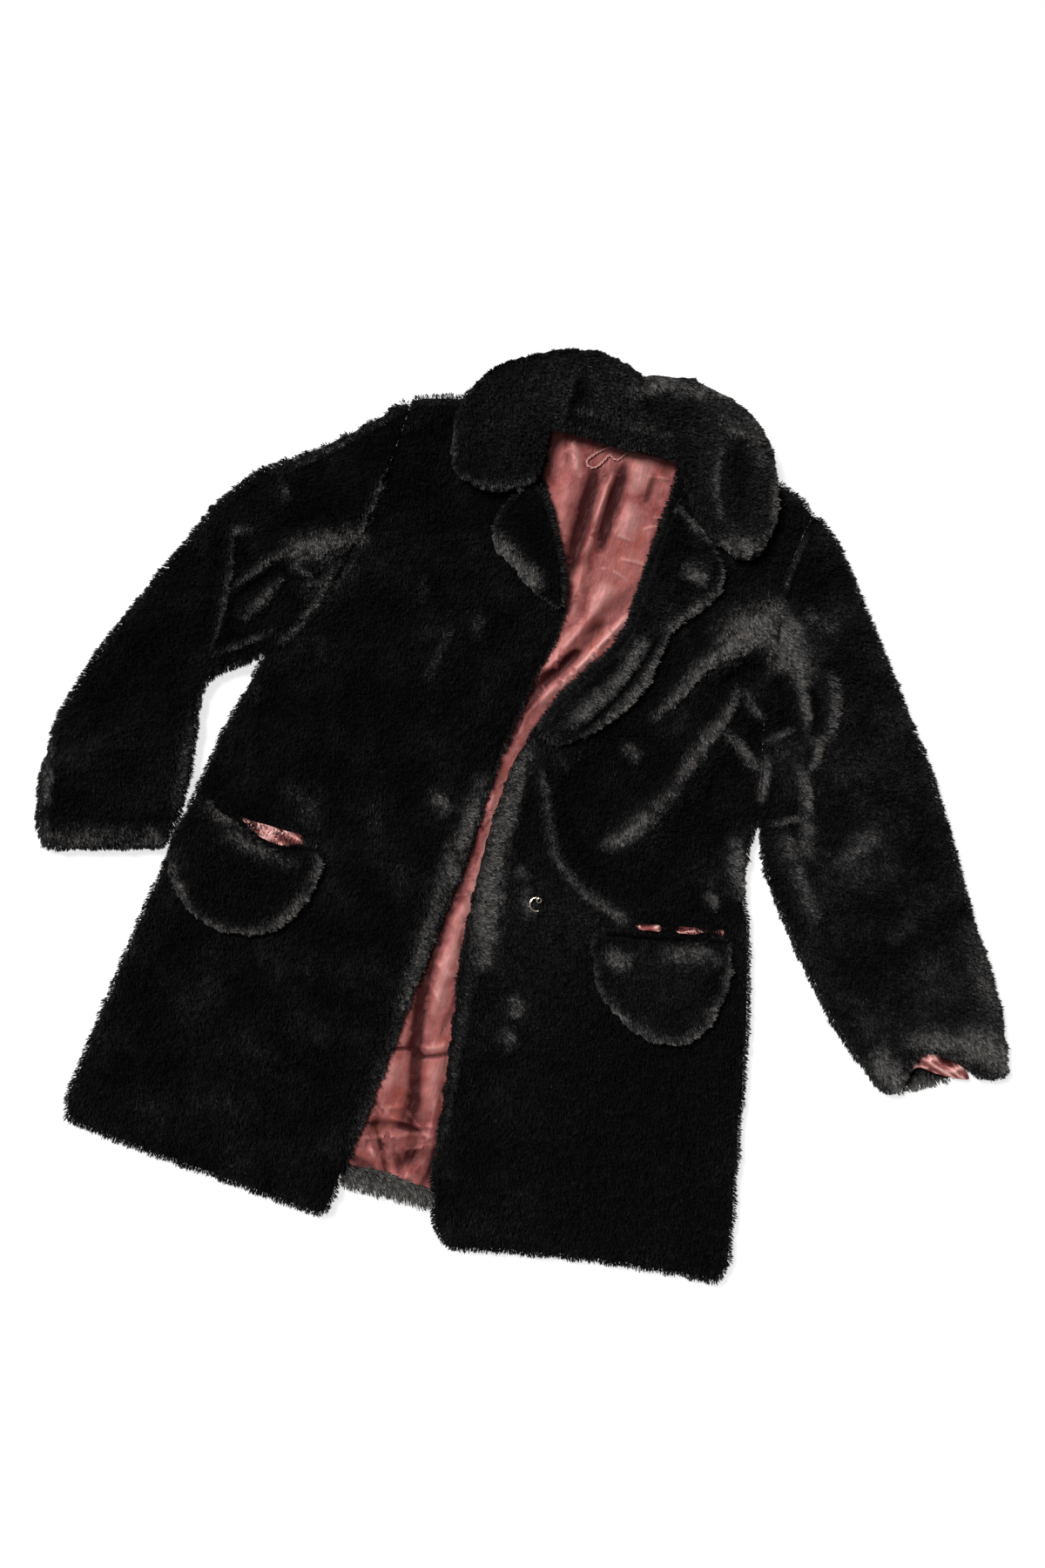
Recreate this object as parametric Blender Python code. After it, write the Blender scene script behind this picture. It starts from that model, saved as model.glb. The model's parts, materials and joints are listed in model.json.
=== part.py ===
"""A long faux fur coat, laid flat and open on a surface, its front up.

The wearer's right is at -X, the collar at +Y and the hem at -Y. All tables are in
millimetres. The coat lies turned a little clockwise, as it was put down: the opening runs
from the neck at the upper right to the hem at the lower left.

It is built in layers, from the surface up: the back and the under sleeves, the satin
lining of the back, the two fronts and the upper sleeves, and on top of these the collar,
the lapels, the patch pockets and the fur hook.
"""

import math
from collections import namedtuple

import bmesh
import bpy
from mathutils import Vector

MM = 0.001
GAP = 0.3  # between pieces at their seams, and between layers
FUR_CLOTH = 8.5  # backing and pressed pile together
SATIN = 1.2
RIM = 5.0  # how far in from its edge a piece reaches its full height
RIM_SHARE = 0.55  # how high the edge itself is, as a share of the full height
FOLD_AT_RIM = 0.7  # how much of a fold's height is left at the edge
BACK_TOP = 8.2
LINING_TOP = BACK_TOP + GAP + SATIN
FRONT_BASE = LINING_TOP + GAP
FRONT_TOP = FRONT_BASE + FUR_CLOTH
ON_FRONTS = FRONT_TOP + GAP

# A section runs across a piece from its outer edge to its inner edge.
Section = namedtuple("Section", "place outer_x outer_y inner_x inner_y")
# A fold is a soft ridge: its middle, how it is turned from +X, and how it bows sideways.
Fold = namedtuple("Fold", "x y turn length width height bow")
Point = namedtuple("Point", "x y")

HEAD_REACH = 1.5  # how many sections a shaped head line eases out over
UNDERARM = 5  # the section of both fronts where the armhole ends and the side seam starts

FRONT_RIGHT = (
    Section("shoulder", -119, 456, 33, 425),
    Section("collarbone", -139, 398, 23, 376),
    Section("notch", -164, 342, 32, 332),
    Section("chest", -195, 284, 44, 280),
    Section("armhole", -235, 224, 48, 240),
    Section("underarm", -280, 178, 39, 200),
    Section("ribs", -300, 140, 5, 135),
    Section("waist", -331, 84, -26, 60),
    Section("pocket mouth", -363, 9, -55, -28),
    Section("pocket", -391, -52, -86, -105),
    Section("hip", -420, -118, -112, -172),
    Section("thigh", -452, -195, -138, -240),
    Section("low", -478, -260, -163, -302),
    Section("corner", -499, -317, -201, -402),
    Section("hem", -485, -335, -216, -436),
)
FRONT_LEFT = (
    Section("shoulder", 318, 330, 171, 386),
    Section("collarbone", 299, 290, 160, 340),
    Section("notch", 284, 240, 143, 298),
    Section("chest", 272, 180, 122, 232),
    Section("armhole", 263, 90, 98, 184),
    Section("underarm", 257, -4, 44, 137),
    Section("ribs", 240, -62, 4, 82),
    Section("waist", 245, -110, -16, 50),
    Section("pocket mouth", 248, -160, -42, -30),
    Section("pocket", 246, -212, -60, -108),
    Section("hip", 244, -275, -73, -195),
    Section("thigh", 237, -350, -85, -290),
    Section("low", 231, -430, -97, -390),
    Section("corner", 225, -488, -97, -444),
    Section("hem", 211, -507, -79, -471),
)
SLEEVE_RIGHT = (
    Section("head", -119, 456, -280, 178),
    Section("cap", -183, 421, -297, 172),
    Section("upper arm", -246, 391, -320, 164),
    Section("above elbow", -288, 374, -336, 155),
    Section("elbow fold", -334, 337, -346, 148),
    Section("elbow", -368, 294, -351, 137),
    Section("below elbow", -410, 244, -355, 119),
    Section("forearm", -447, 197, -357, 97),
    Section("mid forearm", -486, 140, -360, 68),
    Section("above cuff", -511, 92, -367, 36),
    Section("cuff seam", -525, 50, -373, 10),
    Section("low cuff", -527.9, 0, -382, -13),
    Section("cuff", -520, -31, -392, -30),
)
SLEEVE_LEFT = (
    Section("head", 318, 330, 257, -4),
    Section("cap", 342, 298, 263, -30),
    Section("upper arm", 376, 217, 269, -66),
    Section("above elbow", 398, 165, 284, -104),
    Section("elbow", 419, 112, 299, -142),
    Section("below elbow", 445, 45, 319, -182),
    Section("forearm", 469, -36, 338, -220),
    Section("above cuff", 489, -109, 360, -254),
    Section("cuff seam", 512, -180, 378, -278),
    Section("low cuff", 524.5, -240, 386, -292),
    Section("cuff", 528, -280, 402, -299),
)
COLLAR = (
    Section("right leaf end", -50, 361, 6, 363),
    Section("right leaf", -75, 382, 20, 378),
    Section("right leaf middle", -78, 414, 25, 401),
    Section("right shoulder", -69, 446, 33, 426),
    Section("right corner", -41, 481, 46, 424),
    Section("right neck", -7, 498, 68, 418),
    Section("back", 38, 507, 91, 411),
    Section("back middle", 86, 503, 114, 405),
    Section("dent", 127, 484, 136, 399),
    Section("left neck", 177, 478, 156, 394),
    Section("left corner", 224, 458, 170, 388),
    Section("left shoulder", 257, 428, 174, 372),
    Section("left leaf middle", 272, 388, 180, 352),
    Section("left leaf", 275, 340, 190, 326),
    Section("left leaf low", 268, 308, 206, 304),
    Section("left leaf end", 253, 286, 226, 284),
)
LAPEL_RIGHT = (
    Section("gorge", -4, 355, 22, 357),
    Section("notch", -20, 336, 31, 334),
    Section("corner", -31, 312, 39, 304),
    Section("below corner", -31, 296, 44, 278),
    Section("middle", -10, 268, 47, 253),
    Section("low", 18, 243, 46, 232),
    Section("end", 34, 232, 44, 225),
)
LAPEL_LEFT = (
    Section("gorge", 214, 284, 168, 346),
    Section("notch", 218, 264, 161, 331),
    Section("corner", 213, 244, 151, 308),
    Section("below corner", 190, 224, 140, 280),
    Section("step", 162, 204, 126, 240),
    Section("roll", 150, 183, 114, 200),
    Section("roll middle", 137, 149, 99, 180),
    Section("low roll", 116, 122, 72, 158),
    Section("low", 82, 98, 45, 133),
    Section("break", 52, 84, 25, 108),
    Section("end", 34, 78, 18, 90),
)
POCKET_RIGHT = (
    Section("mouth", -345, 24, -222, -35),
    Section("upper", -373, -8, -220, -52),
    Section("middle", -385, -42, -225, -72),
    Section("lower", -382, -73, -236, -91),
    Section("curve", -366, -97, -252, -108),
    Section("low", -338, -116, -272, -121),
    Section("bottom", -320, -123, -290, -125),
)
POCKET_LEFT = (
    Section("mouth", 78, -124, 228, -134),
    Section("upper", 77, -152, 227, -154),
    Section("middle", 82, -184, 222, -180),
    Section("lower", 95, -207, 211, -210),
    Section("curve", 117, -228, 194, -233),
    Section("bottom", 137, -241, 172, -246),
)
MOUTH_RIGHT = (
    Section("top", -310, 2, -230, -24),
    Section("bottom", -304, -2.5, -236, -29),
)
MOUTH_LEFT = (
    Section("top", 120, -116, 219, -123),
    Section("bottom", 120, -121.5, 219, -129),
)
HEM_STRIP = (
    Section("top", -188, -378, -104, -404),
    Section("bottom", -193, -401, -104, -424),
)

# The body's top line, from the wearer's right shoulder point over the neck to the left one.
SHOULDER_RIGHT = (
    Point(-119, 456), Point(-103, 459), Point(-66, 458), Point(-20, 446), Point(33, 425),
)
NECK = (Point(33, 425), Point(100, 407), Point(171, 386))
SHOULDER_LEFT = (
    Point(171, 386), Point(225, 379), Point(277, 364), Point(299, 351), Point(318, 330),
)

LINING_TUCK = 22  # how far the lining runs on under each front edge
LINING_END = 12  # the last section of the fronts that the lining's sides follow
LINING_HEM = (Point(-207, -370), Point(-74, -412))

FRONT_RIGHT_FOLDS = (
    Fold(-104, 180, 71, 120, 14, 4, 0),
    Fold(-235, 84, 62, 120, 18, 3, 6),
)
FRONT_LEFT_FOLDS = (
    Fold(218, 178, 41, 195, 15, 15, 6),
    Fold(165, 42, 49, 260, 14, 13, -12),
    Fold(62, -30, -61, 190, 12, 7, -28),
    Fold(228, 40, 70, 90, 11, 6, 4),
)
SLEEVE_RIGHT_FOLDS = (
    Fold(-333, 235, 80, 165, 10, 8, 0),
    Fold(-245, 296, 21, 150, 12, 9, 5),
    Fold(-172, 345, 55, 110, 11, 7, 0),
    Fold(-278, 246, 36, 85, 10, 6, 0),
    Fold(-236, 262, 54, 150, 10, 6, -4),
)
SLEEVE_LEFT_FOLDS = (
    Fold(303, 168, -20, 90, 10, 8, 0),
    Fold(305, 112, 5, 85, 10, 9, 3),
    Fold(302, 60, 15, 85, 9, 8, 0),
    Fold(295, 14, 20, 70, 9, 7, 0),
    Fold(336, 118, 75, 120, 12, 6, 0),
    Fold(360, -28, 15, 75, 13, 4, 0),
)

# The upper cuff of the left sleeve is drawn back and shows the lining.
Notch = namedtuple("Notch", "middle half_width depth")
CUFF_NOTCH = Notch(0.56, 0.30, 30)
CUFF_SATIN = 5  # the lining shows as a soft roll this high, in the cuff and in the pockets

# The collar is fuller than the other pieces, and creased at the back between stand and fall.
COLLAR_CLOTH = FUR_CLOTH + 4
COLLAR_ROUND = 9
COLLAR_BACK = 7  # the section in the middle of the back of the neck
COLLAR_CREASE = 0.74  # where the crease runs, from the outer edge to the inner one
COLLAR_CLEAR = (3.2, 12.3)  # between these sections the collar lies past the body's top line
LEAF_ROUND = 5  # how far the end of each collar leaf bulges

# The limp hanging loop, from the neck seam round to the left of the coat and back.
LOOP_ROUTE = (
    Point(97, 404), Point(88, 400), Point(79, 395), Point(71.5, 389), Point(72, 383),
    Point(78, 380.5), Point(85, 384), Point(91, 390), Point(95.5, 394.5), Point(99, 391.5),
    Point(103, 389), Point(107, 390.5), Point(111, 394), Point(115, 398.5),
)
LOOP_THICK = 3.6

# The hook is a wire ring, open at its right, that ends above in a small sewing eyelet.
HOOK = Point(16, -95.5)
HOOK_RADIUS = 7.4
HOOK_WIRE = 1.7
HOOK_OPEN = (-75, 60)  # the ring's ends, in degrees from +X
EYELET_RADIUS = 2.4
EYELET_TURN = 325  # its end passes over the ring

COLLECTION = "faux_fur_coat"
PILE_BLACK = (0.008, 0.008, 0.010, 1.0)
SATIN_ROSE = (0.36, 0.11, 0.11, 1.0)
PALE_METAL = (0.75, 0.68, 0.58, 1.0)


def material(name, colour, roughness, metallic=0.0):
    made = bpy.data.materials.new(name)
    made.use_nodes = True
    shader = made.node_tree.nodes["Principled BSDF"]
    shader.inputs["Base Color"].default_value = colour
    shader.inputs["Roughness"].default_value = roughness
    shader.inputs["Metallic"].default_value = metallic
    return made


def smooth(knots, at):
    """The point at `at` on a smooth curve through the knots: 0 is the first, 1 the second."""
    start = min(int(at), len(knots) - 2)
    step = at - start
    here, there = knots[start], knots[start + 1]
    before = knots[start - 1] if start else here * 2 - there
    after = knots[start + 2] if start + 2 < len(knots) else there * 2 - here
    return (
        here * 2
        + (there - before) * step
        + (before * 2 - here * 5 + there * 4 - after) * step**2
        + (here * 3 - before - there * 3 + after) * step**3
    ) / 2


def outer(sections):
    return [Vector((row.outer_x, row.outer_y)) for row in sections]


def inner(sections):
    return [Vector((row.inner_x, row.inner_y)) for row in sections]


def places(sections, steps):
    """Where the rows of a piece's net lie: `steps` to a section, and one close to each end."""
    last = len(sections) - 1
    first_step = (outer(sections)[1] - outer(sections)[0]).length
    last_step = (outer(sections)[-1] - outer(sections)[-2]).length
    even = [row / steps for row in range(1, last * steps)]
    return [0, RIM / first_step, *even, last - RIM / last_step, last]


def across_shares(columns, width):
    """Even shares across a piece, with one column RIM from each edge."""
    edge = min(RIM / width, 0.3 / columns)
    return [0, edge, *(n / (columns - 2) for n in range(1, columns - 2)), 1 - edge, 1]


def sampled(knots, steps):
    """Points at even steps along a smooth curve through a table of points."""
    line = [Vector(knot) for knot in knots]
    return [smooth(line, (len(line) - 1) * n / steps) for n in range(steps + 1)]


def net(left, right, rows, columns, bows=None, head=None):
    """The plan of a piece, row by row: points from a left edge curve to a right one.

    A head line takes the place of the first row, and the next rows ease into it.
    """
    made = []
    for place in rows:
        start, end = smooth(left, place), smooth(right, place)
        across = (end - start).length
        down = Vector((end.y - start.y, start.x - end.x)).normalized()
        if end.x < start.x:
            down = -down
        bow = bows(place) if bows else 0
        made.append([
            start.lerp(end, share) + down * bow * 4 * share * (1 - share)
            for share in across_shares(columns, across)
        ])
    shift = [there - here for here, there in zip(made[0], head or made[0])]
    for place, line in zip(rows, made):
        ease = max(0, 1 - place / HEAD_REACH) ** 2
        line[:] = [spot + move * ease for spot, move in zip(line, shift)]
    return made


def ridges(folds):
    """The height of a table of folds over a point."""
    def height(x, y):
        total = 0
        for fold in folds:
            turn = math.radians(fold.turn)
            dx, dy = x - fold.x, y - fold.y
            along = (dx * math.cos(turn) + dy * math.sin(turn)) * 2 / fold.length
            taper = max(0, 1 - along**2)
            aside = dy * math.cos(turn) - dx * math.sin(turn) - fold.bow * taper
            total += fold.height * taper * math.exp(-((aside / fold.width) ** 2))
        return total
    return height


def crown(height):
    """A piece that is `height` fuller in its middle than at its edges."""
    def raised(share, _down):
        return height * math.sqrt(max(0, 1 - (2 * share - 1) ** 2))
    return raised


def cloth(name, finish, plan, base, thick, folds=(), full=None):
    """A closed slab of cloth over a net of points, its edges rounded and its underside flat."""
    rows, columns = len(plan) - 1, len(plan[0]) - 1
    rise = ridges(folds)
    shape = bmesh.new()
    bmesh.ops.create_grid(shape, x_segments=columns, y_segments=rows, size=0.5)
    low = min(vert.co.x for vert in shape.verts)
    size = -2 * low
    raised = bmesh.ops.extrude_face_region(shape, geom=shape.faces[:], use_keep_orig=True)
    upper = [item for item in raised["geom"] if isinstance(item, bmesh.types.BMVert)]
    bmesh.ops.translate(shape, verts=upper, vec=(0, 0, 1))
    for vert in shape.verts:
        column = round((vert.co.x / size + 0.5) * columns)
        row = round((0.5 - vert.co.y / size) * rows)
        spot = plan[row][column]
        at_edge = column in (0, columns) or row in (0, rows)
        if vert.co.z > 0.5:
            lift = thick * (RIM_SHARE if at_edge else 1)
            if full and not at_edge:
                lift += full(column / columns, row / rows)
            height = base + lift + rise(spot.x, spot.y) * (FOLD_AT_RIM if at_edge else 1)
        else:
            height = base
        vert.co = Vector((spot.x, spot.y, height)) * MM
    flat = [edge for edge in shape.edges if all(v.co.z < base * MM + 1e-6 for v in edge.verts)]
    corners = [vert for vert in shape.verts if vert.co.z < base * MM + 1e-6]
    bmesh.ops.dissolve_limit(shape, angle_limit=math.radians(0.5), verts=corners, edges=flat)
    bmesh.ops.recalc_face_normals(shape, faces=shape.faces[:])
    add(name, shape, finish)


def add(name, shape, finish):
    mesh = bpy.data.meshes.new(name)
    shape.to_mesh(mesh)
    shape.free()
    mesh.shade_smooth()
    mesh.materials.append(finish)
    made = bpy.data.objects.new(name, mesh)
    bpy.data.collections[COLLECTION].objects.link(made)


def tube(name, finish, route, thick):
    """A round cord or wire along a route, as one closed body."""
    curve = bpy.data.curves.new(name, "CURVE")
    curve.dimensions = "3D"
    curve.bevel_depth = thick / 2 * MM
    curve.bevel_resolution = 2
    curve.use_fill_caps = True
    line = curve.splines.new("POLY")
    line.points.add(len(route) - 1)
    for knot, spot in zip(line.points, route):
        knot.co = (*(spot * MM), 1)
    made = bpy.data.objects.new(name, curve)
    curve.materials.append(finish)
    bpy.data.collections[COLLECTION].objects.link(made)


def hem_bow(depth, sections):
    """The last rows of a piece bow down in their middle, or up where the depth is negative."""
    def bow(place):
        return depth * max(0, place - len(sections) + 2.5) ** 2
    return bow


def leaf_bow(depth, sections):
    """Both ends of a piece bulge, and only the rows next to them with them."""
    def bow(place):
        return depth * max(0, 1 - min(place, len(sections) - 1 - place)) ** 2
    return bow


def mouth_bow(depth):
    """A pocket's mouth sags in its middle, and the rows below it less and less."""
    def bow(place):
        return depth * max(0, 1 - place / 2) ** 2
    return bow


def build_body(fur, satin):
    rows = places(FRONT_RIGHT, 2)
    right_side, left_side = outer(FRONT_RIGHT), outer(FRONT_LEFT)
    top = sampled(SHOULDER_RIGHT, 4) + sampled(NECK, 4)[1:] + sampled(SHOULDER_LEFT, 4)[1:]
    plan = net(right_side, left_side, rows, 12, hem_bow(-4, FRONT_RIGHT), top)
    cloth("back", fur, plan, 0, BACK_TOP)
    head = sampled(SHOULDER_RIGHT, 12)
    plan = net(right_side, inner(FRONT_RIGHT), rows, 12, head=head)
    cloth("front_right", fur, plan, FRONT_BASE, FUR_CLOTH, FRONT_RIGHT_FOLDS)
    head = sampled(SHOULDER_LEFT[::-1], 14)
    plan = net(left_side, inner(FRONT_LEFT), rows, 14, hem_bow(-3, FRONT_LEFT), head)
    cloth("front_left", fur, plan, FRONT_BASE, FUR_CLOTH, FRONT_LEFT_FOLDS)

    tuck = Vector((LINING_TUCK, 0))
    right_edge = [knot - tuck for knot in inner(FRONT_RIGHT)[: LINING_END + 1]]
    left_edge = [knot + tuck for knot in inner(FRONT_LEFT)[: LINING_END + 1]]
    right_edge.append(Vector(LINING_HEM[0]))
    left_edge.append(Vector(LINING_HEM[1]))
    lining_rows = [row / 2 for row in range(2 * len(right_edge) - 1)]
    neck = sampled(NECK, 6)
    neck[0], neck[-1] = neck[0] - tuck / 2, neck[-1] + tuck / 2
    head = [knot - Vector((0, 1.5)) for knot in neck]
    plan = net(right_edge, left_edge, lining_rows, 6, head=head)
    cloth("back_lining", satin, plan, BACK_TOP + GAP, SATIN)

    strip = net(outer(HEM_STRIP), inner(HEM_STRIP), [0, 0.2, 0.5, 0.8, 1], 8)
    cloth("back_hem", fur, strip, LINING_TOP + GAP, FUR_CLOTH - 2)


def build_sleeve(side, sections, body, folds, fur, notch=None):
    """The two layers of one sleeve, sewn to the armhole of the body."""
    seam_rows = [place for place in places(FRONT_RIGHT, 2) if place <= UNDERARM]
    seam = [smooth(outer(body), place) for place in seam_rows]
    away = 1 if seam[0].x > 0 else -1
    head = []
    for n, knot in enumerate(seam):
        run = seam[min(n + 1, len(seam) - 1)] - seam[max(n - 1, 0)]
        head.append(knot + Vector((-run.y, run.x)).normalized() * away * GAP * 1.5)
    columns = len(seam) - 1
    edges = outer(sections), inner(sections)

    under = net(*edges, places(sections, 1), columns, head=head)
    cloth(f"sleeve_{side}_under", fur, under, 0, FUR_CLOTH)
    rows = places(sections, 2)
    top = net(*edges, rows, columns, head=head)
    if notch:
        draw_back(top, rows, notch)
    cloth(f"sleeve_{side}_top", fur, top, FUR_CLOTH + GAP, FUR_CLOTH, folds, crown(7))
    return under, top, columns


def draw_back(plan, rows, notch):
    """Arches the last row of a piece back up the piece, and the rows near it less so."""
    columns = len(plan[0]) - 1
    along = (plan[-1][columns // 2] - plan[-3][columns // 2]).normalized()
    for place, line in zip(rows, plan):
        nearby = max(0, 1 - (rows[-1] - place) / 0.9)
        for column in range(columns + 1):
            offset = (column / columns - notch.middle) / notch.half_width
            line[column] -= along * notch.depth * max(0, 1 - offset**2) * nearby


def build_cuff_lining(under, top, columns, satin):
    """The lining that shows where the upper cuff is drawn back from the lower one."""
    reach = CUFF_NOTCH.half_width * 0.75
    first = round((CUFF_NOTCH.middle - reach) * columns)
    last = round((CUFF_NOTCH.middle + reach) * columns)
    plan = []
    for share in (0.2, 0.45, 0.7, 0.9):
        plan.append([
            top[-1][column].lerp(under[-1][column], share)
            for column in range(first, last + 1)
        ])
    cloth("cuff_lining_left", satin, plan, FUR_CLOTH + GAP, CUFF_SATIN)


def build_collar(fur):
    plan = net(outer(COLLAR), inner(COLLAR), places(COLLAR, 2), 12, leaf_bow(LEAF_ROUND, COLLAR))

    def fullness(share, down):
        """Highest along its roll, with a crease between the stand and the fall at the back."""
        roll = COLLAR_ROUND * math.sqrt(max(0, 1 - (2 * share - 1) ** 2))
        near_back = math.exp(-(((down * (len(COLLAR) - 1) - COLLAR_BACK) / 2.6) ** 2))
        crease = math.exp(-(((share - COLLAR_CREASE) / 0.09) ** 2))
        return roll + near_back * (3 * (1 - share) - 8 * crease)

    cloth("collar", fur, plan, ON_FRONTS, COLLAR_CLOTH, full=fullness)
    build_under_collar(fur)


def build_under_collar(fur):
    """The underside of the collar, from the body's top line up to just inside the rim above."""
    feet = sampled(SHOULDER_RIGHT, 12)[6:] + sampled(NECK, 8)[1:] + sampled(SHOULDER_LEFT, 12)[1:6]
    first, last = COLLAR_CLEAR
    clear = Vector((0, 4 * GAP))
    steps = 5
    plan = []
    for n, foot in enumerate(feet):
        rim = smooth(outer(COLLAR), first + (last - first) * n / (len(feet) - 1))
        away = rim - foot
        reach = max(0.25, 1 - RIM / max(away.length, RIM))
        plan.append([foot + away * reach * step / steps + clear for step in range(steps + 1)])
    cloth("under_collar", fur, plan, 0, FRONT_TOP - GAP)


def build_trims(fur, satin, metal):
    for side, lapel, pocket, mouth, sag in (
        ("right", LAPEL_RIGHT, POCKET_RIGHT, MOUTH_RIGHT, 11),
        ("left", LAPEL_LEFT, POCKET_LEFT, MOUTH_LEFT, 1),
    ):
        plan = net(outer(lapel), inner(lapel), places(lapel, 1), 7)
        cloth(f"lapel_{side}", fur, plan, ON_FRONTS, FUR_CLOTH, full=crown(2))
        plan = net(outer(pocket), inner(pocket), places(pocket, 2), 10, mouth_bow(sag))
        cloth(f"pocket_{side}", fur, plan, ON_FRONTS, FUR_CLOTH, full=crown(4))
        plan = net(outer(mouth), inner(mouth), [0, 0.5, 1], 8, mouth_bow(sag / 4))
        cloth(f"pocket_lining_{side}", satin, plan, ON_FRONTS, CUFF_SATIN)
    route = [(*spot, LINING_TOP + GAP + LOOP_THICK / 2) for spot in sampled(LOOP_ROUTE, 26)]
    tube("hanging_loop", satin, [Vector(spot) for spot in route], LOOP_THICK)
    build_hook(metal)


def build_hook(metal):
    first, last = HOOK_OPEN
    height = ON_FRONTS + HOOK_WIRE / 2
    middle = Vector((HOOK.x, HOOK.y, height))
    eyelet = middle + around(last, HOOK_RADIUS - EYELET_RADIUS)
    steps = 20
    route = []
    for n in range(steps):
        turn = first - (360 + first - last) * n / steps
        route.append(middle + around(turn, HOOK_RADIUS))
    for n in range(steps + 1):
        rise = Vector((0, 0, (HOOK_WIRE + GAP) * n / steps))
        route.append(eyelet + around(last - EYELET_TURN * n / steps, EYELET_RADIUS) + rise)
    tube("fur_hook", metal, route, HOOK_WIRE)


def around(turn, radius):
    """A point on a circle, its turn in degrees from +X."""
    return Vector((math.cos(math.radians(turn)), math.sin(math.radians(turn)), 0)) * radius


def build_coat():
    for old in list(bpy.data.objects):
        bpy.data.objects.remove(old, do_unlink=True)
    bpy.context.scene.collection.children.link(bpy.data.collections.new(COLLECTION))
    fur = material("black faux fur", PILE_BLACK, 0.6)
    satin = material("rose satin", SATIN_ROSE, 0.35)
    metal = material("pale metal wire", PALE_METAL, 0.3, 1.0)

    build_body(fur, satin)
    build_sleeve("right", SLEEVE_RIGHT, FRONT_RIGHT, SLEEVE_RIGHT_FOLDS, fur)
    under_cuff, top_cuff, columns = build_sleeve(
        "left", SLEEVE_LEFT, FRONT_LEFT, SLEEVE_LEFT_FOLDS, fur, CUFF_NOTCH
    )
    build_cuff_lining(under_cuff, top_cuff, columns, satin)
    build_collar(fur)
    build_trims(fur, satin, metal)


build_coat()
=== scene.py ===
"""How a black faux fur coat looks as it lies flat and open, its front up.

Each fur panel is a soft shell on its solid's form, with creases placed one by one, and a pile
of fine leaves stands on it, stroked flat in streaks. The satin lining, the hanging loop and
the linings of the cuff and pockets are modelled on their own. Tables are in millimetres,
with the wearer's right at -X and the collar at +Y, and turns are in degrees from +X.
"""

import json
import math
from collections import namedtuple
from functools import partial

import bmesh
import bpy
import numpy as np
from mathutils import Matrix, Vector, noise
from mathutils.bvhtree import BVHTree

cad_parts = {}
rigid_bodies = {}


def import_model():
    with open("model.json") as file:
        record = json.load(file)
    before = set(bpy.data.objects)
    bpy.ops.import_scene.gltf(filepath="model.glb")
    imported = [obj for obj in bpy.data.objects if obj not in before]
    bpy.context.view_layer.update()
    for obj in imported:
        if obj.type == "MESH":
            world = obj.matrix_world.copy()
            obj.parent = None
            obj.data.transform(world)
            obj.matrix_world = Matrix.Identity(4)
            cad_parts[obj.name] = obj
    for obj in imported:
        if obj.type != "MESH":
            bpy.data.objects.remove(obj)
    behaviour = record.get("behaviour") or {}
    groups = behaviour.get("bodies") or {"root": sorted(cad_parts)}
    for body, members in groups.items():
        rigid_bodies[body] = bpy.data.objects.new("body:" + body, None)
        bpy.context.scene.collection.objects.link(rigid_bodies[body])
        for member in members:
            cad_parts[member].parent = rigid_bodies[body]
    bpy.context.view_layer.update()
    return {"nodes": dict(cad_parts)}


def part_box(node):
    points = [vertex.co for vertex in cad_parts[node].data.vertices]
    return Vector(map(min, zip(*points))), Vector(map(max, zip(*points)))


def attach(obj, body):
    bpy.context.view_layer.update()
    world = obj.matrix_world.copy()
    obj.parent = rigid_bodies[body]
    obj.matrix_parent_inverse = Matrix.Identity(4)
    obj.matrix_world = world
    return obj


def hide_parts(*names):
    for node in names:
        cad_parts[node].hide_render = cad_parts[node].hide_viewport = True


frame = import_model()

bl_info = {
    "name": "Faux fur coat",
    "version": (1, 0, 0),
    "blender": (4, 5, 0),
    "location": "3D View > Sidebar > Fur Coat",
    "description": "Builds a faux fur coat laid flat: its pile, satin lining, hook and light",
    "category": "Object",
}

MM = 0.001
UP = Vector((0, 0, 1))

# A fold is a soft ridge, or a trough where its height is negative: its middle, how it is
# turned, its length, width and height, and how far it bows to its left. Where it has a slant
# its pile was stroked along it: it leans that way, and stands at that slant. A flat slant
# shines and a steep one is dark, partly as its leaves catch the light and partly painted:
# flat pile's tips are painted paler, a painted highlight, and steep pile's darker, painted
# shade. One side of a sharp fold falls steeply: 1 is its left.
# A later fold's pile lies over an earlier one's, so broad faint folds come first.
Fold = namedtuple(
    "Fold", "x y turn length width height bow lean slant sharp", defaults=(0, 0, 0))
# Where the pile was last stroked one way: its middle, and the way that the pile lies.
Nap = namedtuple("Nap", "x y turn")
# Where a corner or an edge is drawn out or in: its middle, how wide, and how far it moves.
Pull = namedtuple("Pull", "x y reach dx dy")
# A pleat of the lining is a fold whose satin colour is also painted with light and shade: 1 is
# lighter, a painted highlight, and -1 darker, painted shade.
Pleat = namedtuple("Pleat", "x y turn length width height bow wear sharp", defaults=(0,))
# A fur panel: its remeshing step, how far its sides sink, its folds, nap and drawn places,
# what it rests on, its cut, and how short its pile is at its sides, or long below 0.
Panel = namedtuple(
    "Panel", "cell sink folds naps pulls rests_on flat area trimmed", defaults=(0,))


def rows(kind, *table):
    """The rows of a table, with its columns' names."""
    return tuple(kind(*row) for row in table)


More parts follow.
